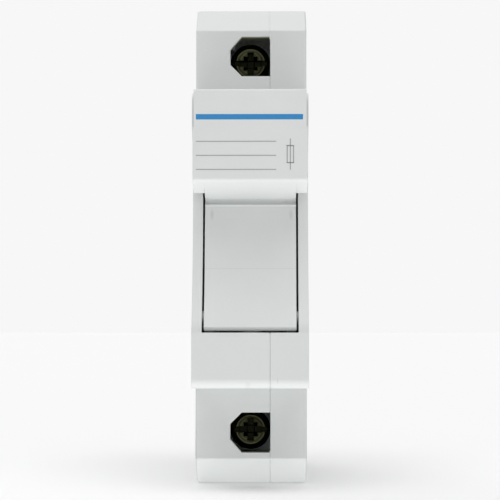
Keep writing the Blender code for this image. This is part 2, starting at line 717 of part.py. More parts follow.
def cheek_outline():
    """The side of the carrier, rounded about its pivot so that it swings clear of both forks."""
    sweep, inner_sweep = upper_sweep(), lower_sweep()
    front = FORK_FRONT_DEPTH - PIVOT_DEPTH - CHEEK_FRONT_GAP
    first = degrees(atan2(sqrt(sweep**2 - front**2), front))
    back = FUSE_DEPTH + CHEEK_BACK - PIVOT_DEPTH
    last = degrees(atan2(sqrt(sweep**2 - back**2), back))
    under_z = cheek_back_edge()[0]
    under = degrees(asin((under_z - PIVOT_Z) / inner_sweep))
    low = degrees(asin((FLOOR_Z - PIVOT_Z) / inner_sweep))
    top = HALF_NOSE - ROOF_SET
    half_wall = CARRIER_WALL / 2
    panel_top = PANEL_TOP_Z - half_wall
    return (
        [(depth(FORK_FRONT_DEPTH - CHEEK_FRONT_GAP), top)]
        + [(depth(LABEL_BACK), top)]
        + [(depth(LABEL_BACK), under_label(LABEL_BACK, half_wall))]
        + [(depth(GROOVE_DEPTH + half_wall), under_label(GROOVE_DEPTH, half_wall))]
        + [(depth(GROOVE_DEPTH + half_wall), panel_top)]
        + recess_curve(PANEL_SET + half_wall, PIVOT_Z, panel_top)[::-1]
        + pivot_arc(PIVOT_RISE - LIP_ROUNDING / 2, 225, 270, 2)
        + [(depth(PIVOT_DEPTH), FLOOR_Z)]
        + pivot_arc(inner_sweep, low, under, 8)
        + [(depth(PIVOT_DEPTH) + back, under_z)]
        + pivot_arc(sweep, last, first, 6)
    )


def grip_outline():
    """The wide lower half of the label block, which fits in front of the housing's side walls."""
    behind = RECESS_DEPTH - EAR_PLAY
    shelf = EAR_DEPTH - SEAT
    top = EAR_BOTTOM_Z - EAR_PLAY
    return rounded(
        [
            (depth(0), top, 0),
            (depth(0), LABEL_BOTTOM_Z + CHEEK_SET, LIP_ROUNDING),
            (depth(behind), under_label(behind, CHEEK_SET), SEAT),
            (depth(behind), top - EAR_SLOPE, EAR_FOOT_ROUNDING),
            (depth(shelf), top, SEAT),
        ]
    )


def fuse_carrier():
    """The carrier, one moulding. Its trunnions turn in pockets of the housing's side walls."""
    carrier = prism("fuse_carrier", skin_outline(), -CARRIER_X, CARRIER_X, "X", PLASTIC)
    shelf = EAR_DEPTH - SEAT
    low = EAR_BOTTOM_Z - EAR_PLAY - EAR_SLOPE
    plate = rounded(
        [
            (depth(0), low, 0),
            (depth(shelf), low, 0),
            (depth(shelf), HALF_NOSE, 0),
            (depth(0), HALF_NOSE, SMALL_EDGE),
        ]
    )
    join(carrier, prism("label_plate", plate, PLATE_SET - HALF_WIDTH, HALF_WIDTH - PLATE_SET))
    join(carrier, prism("grip", grip_outline(), GRIP_SET - HALF_WIDTH, HALF_WIDTH - GRIP_SET))
    for side in (-1, 1):
        limits = sorted((side * CHEEK_X, side * (CARRIER_X - CHEEK_SET)))
        join(carrier, prism(f"cheek_{side}", cheek_outline(), *limits))
        limits = sorted((side * (CHEEK_X - CHEEK_SET), side * (CARRIER_X + PIN_REACH)))
        join(carrier, rod(f"trunnion_{side}", limits, depth(PIVOT_DEPTH), PIVOT_Z, PIN_RADIUS))
    hollow_top = EAR_BOTTOM_Z - EAR_PLAY - CARRIER_WALL
    hollow = label_hollow(LABEL_BACK, hollow_top, CHEEK_SET)
    hollow_x = HALF_WIDTH - GRIP_SET - CARRIER_WALL
    cut(carrier, prism("grip_hollow", hollow, -hollow_x, hollow_x))
    mouth = label_hollow(RECESS_DEPTH, EAR_BOTTOM_Z, 2 * CHEEK_SET)
    cut(carrier, prism("grip_mouth", mouth, -CHEEK_X, CHEEK_X))
    add_fuse_cradle(carrier)
    return carrier


def label_hollow(back, top, lift):
    """A hollow in the label block behind its front wall, lifted a little off its sloped floor."""
    wall = CARRIER_WALL
    return [
        (depth(wall), under_label(wall, wall + lift)),
        (depth(back), under_label(back, wall + lift)),
        (depth(back), top),
        (depth(wall), top),
    ]


def add_fuse_cradle(carrier):
    """The floor and the roof's ribs that hold the link's ends, its saddles and its barbs."""
    half_wall = CARRIER_WALL / 2
    wide = CHEEK_X + CARRIER_PLAY
    floor = (FLOOR_Z + CHEEK_SET, -FLOOR_TOP)
    floor_end = PIVOT_DEPTH + sqrt(lower_sweep() ** 2 - (FLOOR_Z - PIVOT_Z) ** 2) - SEAT
    floor_y = (depth(PIVOT_DEPTH + FLOOR_SETBACK), depth(floor_end))
    join(carrier, block("floor_front", (-wide, wide), floor_y, floor))
    narrow = FUSE_RADIUS - SEAT
    rear = (floor_y[1] - FLOOR_SETBACK, depth(FUSE_DEPTH))
    floor = (floor[0] + CHEEK_SET, floor[1] - CHEEK_SET)
    join(carrier, block("floor_rear", (-narrow, narrow), rear, floor))
    roof = (depth(half_wall), depth(FORK_FRONT_DEPTH - CHEEK_FRONT_GAP))
    for i in (-1, 0, 1):
        limits = (i * ROOF_RIB_SPACING - ROOF_RIB / 2, i * ROOF_RIB_SPACING + ROOF_RIB / 2)
        join(carrier, block(f"roof_rib_{i}", limits, roof, (FLOOR_TOP, HALF_NOSE - half_wall)))
    for side, label in ((1, "upper"), (-1, "lower")):
        limits = (side * SADDLE_Z - SADDLE_WIDTH / 2, side * SADDLE_Z + SADDLE_WIDTH / 2)
        start = recess_curve(PANEL_SET + half_wall, limits[0], limits[0], 1)[0][0]
        if side > 0:
            start = depth(GROOVE_DEPTH + half_wall)
        reach = (start, depth(FUSE_DEPTH - SADDLE_OPENING))
        join(carrier, block(f"{label}_saddle", (-wide, wide), reach, limits))
    cradle = arc((0, depth(FUSE_DEPTH)), TUBE_RADIUS + SEAT, 0, 345, 23)
    cut(carrier, prism("saddle_bore", cradle, CAP_LENGTH - HALF_FUSE, HALF_FUSE - CAP_LENGTH, "Z"))
    barb_back = FUSE_DEPTH + CHEEK_BACK - CHEEK_SET
    low, high = cheek_back_edge()
    for side in (-1, 1):
        limits = sorted((side * (CHEEK_X - BARB), side * wide))
        barb_y = (depth(barb_back - BARB_DEPTH), depth(barb_back))
        join(carrier, block(f"barb_{side}", limits, barb_y, (low + BARB_INSET, high - BARB_INSET)))


def fuse_link():
    """The ceramic tube, turned down at its ends, and the two caps pressed over them."""
    axis = (0, depth(FUSE_DEPTH), 0)
    half = HALF_FUSE - CAP_SHEET - SEAT
    shelf = HALF_FUSE - CAP_LENGTH - SEAT
    neck = FUSE_RADIUS - CAP_SHEET - SEAT
    profile = [(-half, 0), (-half, neck), (-shelf, neck), (-shelf, TUBE_RADIUS)]
    profile += [(shelf, TUBE_RADIUS), (shelf, neck), (half, neck), (half, 0)]
    turned("fuse_tube", profile, axis, "Z", CERAMIC)
    corner = 0.3 * CAP_EDGE
    for side, name in ((1, "fuse_cap_upper"), (-1, "fuse_cap_lower")):
        cup = [
            (side * HALF_FUSE, 0),
            (side * HALF_FUSE, FUSE_RADIUS - CAP_EDGE),
            (side * (HALF_FUSE - corner), FUSE_RADIUS - corner),
            (side * (HALF_FUSE - CAP_EDGE), FUSE_RADIUS),
            (side * (HALF_FUSE - CAP_LENGTH), FUSE_RADIUS),
            (side * (HALF_FUSE - CAP_LENGTH), FUSE_RADIUS - CAP_SHEET),
            (side * (HALF_FUSE - CAP_SHEET), FUSE_RADIUS - CAP_SHEET),
            (side * (HALF_FUSE - CAP_SHEET), 0),
        ]
        turned(name, cup, axis, "Z", SILVER)


def contact(side, name):
    """A forked contact bent from one strip: the fork round the cap, then the tail to the terminal."""
    sheet_half = CONTACT_SHEET / 2
    leaf_x = FUSE_RADIUS + CONTACT_PLAY + sheet_half
    web_y = depth(FORK_BACK_DEPTH) + sheet_half
    tip_y = depth(FORK_FRONT_DEPTH)
    high = HALF_FUSE - FORK_END
    fork_path = [(-leaf_x, tip_y), (-leaf_x, web_y), (leaf_x, web_y), (leaf_x, tip_y)]
    fork = sheet(fork_path, CONTACT_SHEET, CONTACT_BEND)
    limits = sorted((side * FORK_LOW_Z, side * high))
    made = prism(name, fork, *limits, "Z", SILVER)
    middle = (FORK_LOW_Z + high) / 2
    slit = sorted((side * (middle - FORK_SLIT / 2), side * (middle + FORK_SLIT / 2)))
    slit_y = (tip_y - OVERSHOOT, depth(FUSE_DEPTH + FUSE_RADIUS))
    cut(made, block(f"{name}_slit", (-HALF_WIDTH, HALF_WIDTH), slit_y, slit))
    bar_y = BAR_Y + sheet_half
    bar_end = side * (HALF_BODY - WALL - SEAT)
    root = side * middle
    tail_path = [(web_y, root), (web_y, side * TAIL_Z), (bar_y, side * TAIL_Z), (bar_y, bar_end)]
    half = TAIL_WIDTH / 2
    tail = prism(f"{name}_tail", sheet(tail_path, CONTACT_SHEET, TAIL_BEND), -half, half)
    join(made, tail)
    return made


def contact_spring(side, name):
    """The steel clip that presses the fork's leaves onto the cap."""
    sheet_half = SPRING_SHEET / 2
    leaf_x = FUSE_RADIUS + CONTACT_PLAY + CONTACT_SHEET + SEAT + sheet_half
    web_y = depth(FORK_BACK_DEPTH) + CONTACT_SHEET + SEAT + sheet_half
    tip_y = depth(FUSE_DEPTH - SPRING_REACH)
    middle = HALF_FUSE - CAP_LENGTH / 2
    path = [(-leaf_x, tip_y), (-leaf_x, web_y), (leaf_x, web_y), (leaf_x, tip_y)]
    limits = sorted((side * (middle - SPRING_HEIGHT / 2), side * (middle + SPRING_HEIGHT / 2)))
    return prism(name, sheet(path, SPRING_SHEET, SPRING_BEND), *limits, "Z", STEEL)


def terminal_cage(side, name):
    """The clamp that lifts the wire against the tail: a closed band with a thread in its front bar."""
    half = INNER_X - abs(SCREW_X) - CAGE_PLAY
    band = rounded(
        [
            (SCREW_X - half, CAGE_FRONT_Y, CAGE_ROUNDING),
            (SCREW_X + half, CAGE_FRONT_Y, CAGE_ROUNDING),
            (SCREW_X + half, CAGE_BACK_Y, CAGE_ROUNDING),
            (SCREW_X - half, CAGE_BACK_Y, CAGE_ROUNDING),
        ]
    )
    limits = sorted((side * (TERMINAL_Z - CAGE_BAND / 2), side * (TERMINAL_Z + CAGE_BAND / 2)))
    cage = prism(name, band, *limits, "Z", ZINC)
    inner = half - CAGE_SIDE
    wide = (side * TERMINAL_Z - CAGE_BAND, side * TERMINAL_Z + CAGE_BAND)
    window = rounded(
        [
            (SCREW_X - inner, CAGE_FRONT_Y + CAGE_NUT, SMALL_EDGE),
            (SCREW_X + inner, CAGE_FRONT_Y + CAGE_NUT, SMALL_EDGE),
            (SCREW_X + inner, FLOOR_Y, SMALL_EDGE),
            (SCREW_X - inner, FLOOR_Y, SMALL_EDGE),
        ]
    )
    cut(cage, prism(f"{name}_window", window, *wide, "Z"))
    bore = arc((SCREW_X, side * TERMINAL_Z), THREAD_DIAMETER / 2 + SEAT, 0, 345, 23)
    cut(cage, prism(f"{name}_bore", bore, CAGE_FRONT_Y - OVERSHOOT, CAGE_FRONT_Y + CAGE_NUT + SEAT, "Y"))
    return cage


def terminal_screw(side, name):
    """A clamp screw with a crossed recess, its head behind the screwdriver hole."""
    head, thread = (HOLE_WIDTH + HEAD_MARGIN) / 2, THREAD_DIAMETER / 2
    profile = [
        (0, 0),
        (0, head - HEAD_CHAMFER),
        (HEAD_CHAMFER, head),
        (HEAD_HEIGHT, head),
        (HEAD_HEIGHT, thread),
        (HEAD_HEIGHT + THREAD_LENGTH - TIP_CHAMFER, thread),
        (HEAD_HEIGHT + THREAD_LENGTH, thread - TIP_CHAMFER),
        (HEAD_HEIGHT + THREAD_LENGTH, 0),
    ]
    screw = turned(name, profile, (SCREW_X, HEAD_Y, side * TERMINAL_Z), "Y", BRASS, 24)
    span, slot = RECESS_SPAN / 2, RECESS_SLOT / 2
    z = side * TERMINAL_Z
    sunk = (HEAD_Y - OVERSHOOT, HEAD_Y + RECESS_SINK)
    cut(screw, block(f"{name}_slot", (SCREW_X - span, SCREW_X + span), sunk, (z - slot, z + slot)))
    cut(screw, block(f"{name}_cross", (SCREW_X - slot, SCREW_X + slot), sunk, (z - span, z + span)))
    return screw


def rail_clip():
    """The sliding latch, with a sloped nose, a window for its spring and a screwdriver slot."""
    tail_z = -GRIP_Z - CLIP_LENGTH
    outline = rounded(
        [
            (CLIP_Y, tail_z, CLIP_EDGE),
            (CLIP_BACK_Y, tail_z, CLIP_EDGE),
            (CLIP_BACK_Y, -GRIP_Z - CLIP_NOSE_DROP, CLIP_EDGE),
            (CLIP_Y + CLIP_NOSE_LIP, -GRIP_Z, CLIP_EDGE / 2),
            (CLIP_Y, -GRIP_Z, CLIP_EDGE / 2),
        ]
    )
    half = CLIP_WIDTH / 2
    clip = prism("rail_clip", outline, -half, half, "X", NYLON)
    through = (CLIP_Y - OVERSHOOT, CLIP_BACK_Y + OVERSHOOT)
    window = CLIP_WINDOW_WIDTH / 2
    low = PEG_TOP_Z - PEG_HEIGHT - SEAT
    cut(clip, block("clip_window", (-window, window), through, (low, WINDOW_TOP_Z)))
    slot_z = tail_z + CLIP_TAIL_BAR
    slot_x = half - CLIP_FRAME
    cut(clip, block("clip_slot", (-slot_x, slot_x), through, (slot_z, slot_z + CLIP_SLOT)))
    return clip


def rail_clip_spring():
    """A coil between the housing's peg and the top of the clip's window."""
    steps, sides = 12, 6
    radius = (COIL_DIAMETER - COIL_WIRE) / 2
    y = CLIP_Y + CLIP_THICKNESS / 2
    bottom = PEG_TOP_Z + SEAT + COIL_WIRE / 2
    rise = COIL_LENGTH - COIL_WIRE
    shape = bmesh.new()
    rings = []
    total = COIL_TURNS * steps
    for i in range(total + 1):
        angle = 2 * pi * i / steps
        middle = Vector((radius * cos(angle), y + radius * sin(angle), bottom + rise * i / total))
        spoke = Vector((cos(angle), sin(angle), 0))
        ring = []
        for k in range(sides):
            around = 2 * pi * k / sides
            lift = Vector((0, 0, sin(around)))
            ring.append(shape.verts.new(middle + COIL_WIRE / 2 * (spoke * cos(around) + lift)))
        rings.append(ring)
    for low, high in zip(rings, rings[1:]):
        for k in range(sides):
            shape.faces.new((low[k], low[(k + 1) % sides], high[(k + 1) % sides], high[k]))
    shape.faces.new(rings[0])
    shape.faces.new(rings[-1])
    return finished("rail_clip_spring", shape, STEEL)


def rivet(name, y, z):
    """A tubular rivet through both shells, its two flanges sunk in their sides."""
    outer, bore, flange = RIVET_DIAMETER / 2, RIVET_BORE / 2, RIVET_HEAD / 2
    end = HALF_WIDTH - RIVET_SINK + SEAT / 2 + RIVET_FLANGE
    under = end - RIVET_FLANGE
    profile = [
        (-end, bore),
        (end, bore),
        (end, flange - RIVET_EDGE),
        (end - RIVET_EDGE, flange),
        (under, flange),
        (under, outer),
        (-under, outer),
        (-under, flange),
        (RIVET_EDGE - end, flange),
        (-end, flange - RIVET_EDGE),
    ]
    return turned(name, profile, (0, y, z), "X", ZINC, 20)


def clear_scene():
    for old in list(bpy.data.objects):
        bpy.data.objects.remove(old, do_unlink=True)


def main():
    clear_scene()
    housing_main()
    housing_cover()
    fuse_carrier()
    fuse_link()
    for side, label in ((1, "upper"), (-1, "lower")):
        contact(side, f"{label}_contact")
        contact_spring(side, f"{label}_contact_spring")
        terminal_cage(side, f"{label}_terminal_cage")
        terminal_screw(side, f"{label}_terminal_screw")
    rail_clip()
    rail_clip_spring()
    for place in rivet_places():
        rivet(*place)


main()
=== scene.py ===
import math

import bmesh
import bpy
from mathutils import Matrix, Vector


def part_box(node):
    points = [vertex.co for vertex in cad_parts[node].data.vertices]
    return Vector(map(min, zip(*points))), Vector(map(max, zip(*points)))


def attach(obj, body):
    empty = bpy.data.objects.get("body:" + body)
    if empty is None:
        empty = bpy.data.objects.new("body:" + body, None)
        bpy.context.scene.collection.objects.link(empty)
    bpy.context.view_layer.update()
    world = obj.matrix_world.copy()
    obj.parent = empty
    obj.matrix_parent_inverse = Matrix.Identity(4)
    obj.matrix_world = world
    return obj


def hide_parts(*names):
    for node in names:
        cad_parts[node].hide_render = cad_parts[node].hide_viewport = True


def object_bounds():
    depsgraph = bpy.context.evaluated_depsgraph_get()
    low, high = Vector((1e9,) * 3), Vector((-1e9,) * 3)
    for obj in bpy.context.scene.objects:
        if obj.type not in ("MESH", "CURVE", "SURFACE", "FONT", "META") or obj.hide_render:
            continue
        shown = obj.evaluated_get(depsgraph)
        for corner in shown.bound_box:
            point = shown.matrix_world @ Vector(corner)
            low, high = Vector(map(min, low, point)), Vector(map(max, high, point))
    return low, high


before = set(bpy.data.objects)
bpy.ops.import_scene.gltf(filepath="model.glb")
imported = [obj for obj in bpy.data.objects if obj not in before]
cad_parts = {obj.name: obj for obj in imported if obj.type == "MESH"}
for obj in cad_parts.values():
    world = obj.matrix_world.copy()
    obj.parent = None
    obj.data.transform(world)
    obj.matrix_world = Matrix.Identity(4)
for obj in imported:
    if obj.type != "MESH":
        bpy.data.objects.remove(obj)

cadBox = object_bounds()
mm = 0.001
near = 0.02 * mm            # a point closer than this to a plane lies on it
nodeWeld = 0.002 * mm       # a CAD node's points closer than this are one
pieceWeld = 0.001 * mm
smoothUnder = {"bent": 30, "screw": 35, "turned": 40}      # edges flatter than this, in degrees, look smooth
scene = bpy.context.scene
print("frame loaded:", len(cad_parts), "nodes")


# small helpers

def clearSelection():
    if bpy.context.object and bpy.context.object.mode != "OBJECT":
        bpy.ops.object.mode_set(mode="OBJECT")
    bpy.ops.object.select_all(action="DESELECT")


def makeActive(piece):
    clearSelection()
    piece.select_set(True)
    bpy.context.view_layer.objects.active = piece


def editAll(piece):
    makeActive(piece)
    bpy.ops.object.mode_set(mode="EDIT")
    bpy.ops.mesh.select_all(action="SELECT")


def applyModifiers(piece):
    makeActive(piece)
    for modifier in list(piece.modifiers):
        bpy.ops.object.modifier_apply(modifier=modifier.name)


def settle(piece, name):
    # the place goes into the mesh, so the object itself sits at the origin
    piece.name = name
    makeActive(piece)
    bpy.ops.object.transform_apply(location=True, rotation=True, scale=True)
    return piece


def smoothShade(piece, kind="bent"):
    makeActive(piece)
    bpy.ops.object.shade_smooth_by_angle(angle=math.radians(smoothUnder[kind]))
    weighted = piece.modifiers.new("shading", "WEIGHTED_NORMAL")
    weighted.keep_sharp = True
    applyModifiers(piece)
    return piece


def joined(pieces, name):
    clearSelection()
    for piece in pieces:
        piece.select_set(True)
    bpy.context.view_layer.objects.active = pieces[0]
    bpy.ops.object.join()
    return settle(pieces[0], name)


def finishPiece(piece, body, material, replaced=()):
    piece.data.materials.clear()
    piece.data.materials.append(material)
    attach(piece, body)
    if replaced:
        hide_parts(*replaced)
    return piece


def cutAway(piece, cutters):
    for cutter in cutters:
        away = piece.modifiers.new("cut", "BOOLEAN")
        away.operation = "DIFFERENCE"
        away.solver = "EXACT"
        away.object = cutter
    applyModifiers(piece)
    for cutter in cutters:
        bpy.data.objects.remove(cutter, do_unlink=True)
    return piece


def barPiece(low, high, name):
    # an upright bar between two corners, to cut with
    low, high = Vector(low), Vector(high)
    clearSelection()
    bpy.ops.mesh.primitive_cube_add(size=1, location=(low + high) / 2)
    bar = bpy.context.object
    bar.scale = high - low
    return settle(bar, name)


def turnedPiece(name, profile, centre, axis, steps=48, closed=False):
    # the profile is drawn point by point as (along the axis, out from it), then spun round the axis
    centre = Vector(centre)
    along = Vector({"X": (1, 0, 0), "Y": (0, 1, 0), "Z": (0, 0, 1)}[axis])
    out = Vector({"X": (0, 0, 1), "Y": (0, 0, 1), "Z": (1, 0, 0)}[axis])
    points = [centre + along * a + out * r for a, r in profile]
    if closed:
        points.append(points[0])
    clearSelection()
    bpy.ops.mesh.primitive_plane_add(size=0.1 * mm, location=points[0])
    piece = bpy.context.object
    bpy.ops.object.mode_set(mode="EDIT")
    bpy.ops.mesh.select_all(action="SELECT")
    bpy.ops.mesh.merge(type="CENTER")
    for before, after in zip(points, points[1:]):
        bpy.ops.mesh.extrude_region_move(TRANSFORM_OT_translate={"value": after - before})
    bpy.ops.mesh.select_all(action="SELECT")
    bpy.ops.mesh.spin(steps=steps, angle=math.tau, center=centre, axis=along)
    bpy.ops.mesh.select_all(action="SELECT")
    bpy.ops.mesh.remove_doubles(threshold=pieceWeld)
    bpy.ops.mesh.normals_make_consistent(inside=False)
    bpy.ops.object.mode_set(mode="OBJECT")
    return settle(piece, name)


def roundedProfile(corners, step=30):
    # corners are (along, out, radius); each becomes a short arc
    points = []
    for i, (a, b, radius) in enumerate(corners):
        here = Vector((a, b))
        if radius <= 0 or i in (0, len(corners) - 1):
            points.append((a, b))
            continue
        into = (here - Vector(corners[i - 1][:2])).normalized()
        onward = (Vector(corners[i + 1][:2]) - here).normalized()
        turn = into.angle_signed(onward)
        reach = radius * math.tan(abs(turn) / 2)
        count = max(1, round(math.degrees(abs(turn)) / step))
        side = -1 if turn > 0 else 1
        middle = here - into * reach + Vector((-into.y, into.x)) * radius * side
        spoke = here - into * reach - middle
        for k in range(count + 1):
            angle = -turn * k / count
            points.append((
                middle.x + spoke.x * math.cos(angle) - spoke.y * math.sin(angle),
                middle.y + spoke.x * math.sin(angle) + spoke.y * math.cos(angle),
            ))
    return points


# shader maths

class Socket:
    # one value in a node tree; + - * / on it add Math nodes
    def __init__(self, nodeWork, socket):
        self.nodeWork = nodeWork
        self.socket = socket

    def math(self, operation, *others):
        return self.nodeWork.add("ShaderNodeMath", {"operation": operation}, dict(enumerate((self, *others))))

    def __add__(self, other):
        return self.math("ADD", other)

    def __sub__(self, other):
        return self.math("SUBTRACT", other)

    def __rsub__(self, other):
        return (self * -1.0) + other

    def __mul__(self, other):
        return self.math("MULTIPLY", other)

    def __truediv__(self, other):
        return self.math("DIVIDE", other)

    def clamped(self):
        return self.nodeWork.add("ShaderNodeClamp", {}, {0: self})

    __radd__ = __add__
    __rmul__ = __mul__


class NodeWork:
    # a node tree, and one way to add any node to it
    def __init__(self, tree):
        self.tree = tree

    def feed(self, target, value):
        if isinstance(value, Socket):
            self.tree.links.new(value.socket, target)
        elif hasattr(target.default_value, "__len__") and len(value) == 3 and len(target.default_value) == 4:
            target.default_value = (*value, 1.0)
        else:
            target.default_value = value

    def add(self, kind, settings, sockets, out=0):
        node = self.tree.nodes.new(kind)
        for key, value in settings.items():
            setattr(node, key, value)
        for key, value in sockets.items():
            self.feed(node.inputs[key], value)
        return Socket(self, node.outputs[out])


class Finish(NodeWork):
    # a material round its Principled shader
    def __init__(self, name, **values):
        self.material = bpy.data.materials.new(name)
        self.material.use_nodes = True
        super().__init__(self.material.node_tree)
        self.shader = self.tree.nodes["Principled BSDF"]
        self.set(**values)

    def place(self):
        return self.add("ShaderNodeTexCoord", {}, {}, "Object")

    def across(self):
        # the X, Y and Z of the place, each as a value
        place = self.place()
        return [self.add("ShaderNodeSeparateXYZ", {}, {0: place}, axis) for axis in "XYZ"]

    def noise(self, size, detail=2.0, roughness=0.5, stretch=(1, 1, 1)):
        # size is the width of one blotch in metres
        where = self.add("ShaderNodeMapping", {}, {"Vector": self.place(), "Scale": stretch})
        return self.add("ShaderNodeTexNoise", {}, {
            "Vector": where, "Scale": 1 / size, "Detail": detail, "Roughness": roughness,
        })

    def mix(self, factor, first, second):
        return self.add("ShaderNodeMix", {"data_type": "RGBA"}, {0: factor, 6: first, 7: second}, 2)

    def bump(self, height, depth, strength=1.0, under=None):
        sockets = {"Height": height, "Distance": depth, "Strength": strength}
        if under:
            sockets["Normal"] = under
        return self.add("ShaderNodeBump", {}, sockets)

    def set(self, **values):
        for socket, value in values.items():
            self.feed(self.shader.inputs[socket.replace("_", " ")], value)
        return self.material


def shade(colour, factor):
    return tuple(min(1.0, channel * factor) for channel in colour)


# finishes

plasticLook = {
    "colour": (0.646, 0.664, 0.656),
    "specular": 0.40,
    "roughness": 0.44,
    "roughnessSpread": (0.10, 0.12),      # by blotch and by grain
    "grain": 0.11 * mm,                   # the spark-eroded skin of the mould
    "grainBump": (0.004 * mm, 0.6),       # depth and strength
    "flow": 9.0 * mm,                     # slow waves where the melt ran
    "flowBump": (0.02 * mm, 0.25),
    "blotch": 5.0 * mm,
    "blotchTones": (0.975, 1.02),
    "speck": (0.33 * mm, 0.42, 0.35, 0.93),    # size, where it starts, share and tone
}
housingMarks = [
    # middle x and z, half width, half height, tone, and how far back it reaches
    (-0.31 * mm, -21.8 * mm, 0.42 * mm, 0.50 * mm, 0.93, -58.5 * mm),     # where the gate was cut off
    (4.07 * mm, -21.2 * mm, 0.09 * mm, 0.42 * mm, 0.86, -58.5 * mm),
]
carrierMarks = [
    (0.0, 5.27 * mm, 30.0 * mm, 0.14 * mm, 1.14, -54.3 * mm),       # the panel's top edge: a painted highlight where its rounding catches the light
    (0.0, -4.36 * mm, 30.0 * mm, 0.09 * mm, 0.93, -53.0 * mm),      # the crease along the mould's parting line, drawn as a thin line of painted shade
    (-5.85 * mm, 3.9 * mm, 0.26 * mm, 0.75 * mm, 0.86, -53.0 * mm),      # where the pins pushed it out
    (6.15 * mm, 3.9 * mm, 0.26 * mm, 0.70 * mm, 0.86, -53.0 * mm),
]
boreLook = {
    "stain": (0.27, 0.29, 0.17),            # painted shade inside the screw holes, tinted olive like the light the screws throw back
    "start": (-43.9 * mm, 0.9 * mm),        # where it begins and how softly
    "end": -34.0 * mm,
    "x": (-6.5 * mm, 5.65 * mm),
    "z": (26.0 * mm, 33.4 * mm),
}


def boreMask(finish, x, y, z, look):
    rise = z.math("ABSOLUTE")
    inside = ((y - look["start"][0]) / look["start"][1]).clamped() * y.math("LESS_THAN", look["end"])
    inside = inside * x.math("GREATER_THAN", look["x"][0]) * x.math("LESS_THAN", look["x"][1])
    return inside * rise.math("GREATER_THAN", look["z"][0]) * rise.math("LESS_THAN", look["z"][1])


def mouldedPlastic(name, look, tint=1.0, marks=(), bore=None):
    finish = Finish(name, Specular_IOR_Level=look["specular"])
    colour = shade(look["colour"], tint)
    blotch = finish.noise(look["blotch"], 3.0, 0.55)
    darkTone, lightTone = look["blotchTones"]
    base = finish.mix(blotch, shade(colour, darkTone), shade(colour, lightTone))
    speckSize, speckStart, speckShare, speckTone = look["speck"]
    speck = finish.noise(speckSize, 1.0)
    base = finish.mix((speck - speckStart) * speckShare, base, shade(colour, speckTone))
    x, y, z = finish.across() if marks else (None, None, None)
    for middleX, middleZ, halfX, halfZ, tone, back in marks:
        awayX = (x - middleX) / halfX
        awayZ = (z - middleZ) / halfZ
        inside = (1.4 - (awayX * awayX + awayZ * awayZ).math("SQRT")).clamped()
        base = finish.mix(inside * y.math("LESS_THAN", back), base, shade(colour, tone))
    # painted shade inside each screw hole, tinted olive
    if bore:
        base = finish.mix(boreMask(finish, x, y, z, bore), base, bore["stain"])
    grain = finish.noise(look["grain"], 2.0, 0.6)
    flow = finish.noise(look["flow"], 1.0, 0.4, (1, 1, 0.6))
    skin = finish.bump(flow, *look["flowBump"])
    byBlotch, byGrain = look["roughnessSpread"]
    return finish.set(
        Base_Color=base,
        Roughness=look["roughness"] + (blotch - 0.5) * byBlotch + (grain - 0.5) * byGrain,
        Normal=finish.bump(grain, *look["grainBump"], skin),
    )


platedLook = {"grain": 0.05 * mm, "grainBump": (0.003 * mm, 0.5), "cloud": 1.6 * mm}


def platedMetal(name, colour, roughness, patina):
    # rolled or turned metal under plating: a fine grain, and a patina in blotches
    finish = Finish(name, Metallic=1.0)
    brushed = finish.noise(platedLook["grain"], 2.0, 0.6)
    cloud = finish.noise(platedLook["cloud"], 3.0, 0.6)
    base = finish.mix(((cloud - 0.45) * 2.2).clamped(), colour, patina)
    return finish.set(
        Base_Color=base,
        Roughness=roughness + (brushed - 0.5) * 0.16 + (cloud - 0.5) * 0.14,
        Normal=finish.bump(brushed, *platedLook["grainBump"]),
    )


screwLook = {
    # olive zinc darkened well below its own colour: painted shade of the deep screw holes
    "dark": (0.042, 0.047, 0.021),
    "patina": (0.022, 0.025, 0.012),
    "worn": (0.15, 0.148, 0.085),
    "axis": (-0.175 * mm, 29.6 * mm),
    "wornRing": (2.0 * mm, 0.30 * mm),     # a painted highlight ring round the recess, where the head's dish would catch the light
    "headFront": -37.0 * mm,
    "dirt": (0.010, 0.011, 0.006),         # painted shade in the recess
    "recess": (-36.98 * mm, 2.75 * mm),    # behind this, and this far out
    "cloud": 1.2 * mm,
    "grain": 0.06 * mm,
    "grainBump": (0.003 * mm, 0.5),
    "roughness": 0.42,
}


def olivePassivation(name, look):
    finish = Finish(name, Metallic=1.0)
    cloud = finish.noise(look["cloud"], 3.0, 0.6)
    grain = finish.noise(look["grain"], 2.0, 0.6)
    x, y, z = finish.across()
    awayX = x - look["axis"][0]
    awayZ = z.math("ABSOLUTE") - look["axis"][1]
    middle, half = look["wornRing"]
    out = (awayX * awayX + awayZ * awayZ).math("SQRT")
    off = (out - middle).math("ABSOLUTE") / half
    inRecess = y.math("GREATER_THAN", look["recess"][0]) * out.math("LESS_THAN", look["recess"][1])
    # a painted highlight ring round the recess on the screw head
    worn = (1.5 - off - (cloud - 0.5)).clamped() * y.math("LESS_THAN", look["headFront"])
    base = finish.mix(((cloud - 0.4) * 2).clamped(), look["dark"], look["patina"])
    # painted shade inside the screw's recess
    base = finish.mix(inRecess, finish.mix(worn, base, look["worn"]), look["dirt"])
    return finish.set(
        Base_Color=base,
        Roughness=look["roughness"] + (grain - 0.5) * 0.16 - worn * 0.10,
        Normal=finish.bump(grain, *look["grainBump"]),
    )


ceramicLook = {"coat": 0.2, "roughness": 0.28, "speck": 0.25 * mm, "cloud": 4.0 * mm, "ripple": 0.7 * mm}


def glazedCeramic(name, colour, look):
    finish = Finish(name, Coat_Weight=look["coat"])
    speck = finish.noise(look["speck"], 2.0)
    cloud = finish.noise(look["cloud"], 2.0)
    base = finish.mix(cloud, shade(colour, 0.97), shade(colour, 1.03))
    base = finish.mix(((speck - 0.62) * 1.6).clamped(), base, shade(colour, 0.7))
    return finish.set(
        Base_Color=base,
        Roughness=look["roughness"] + (cloud - 0.5) * 0.1,
        Normal=finish.bump(finish.noise(look["ripple"]), 0.006 * mm, 0.4),
    )


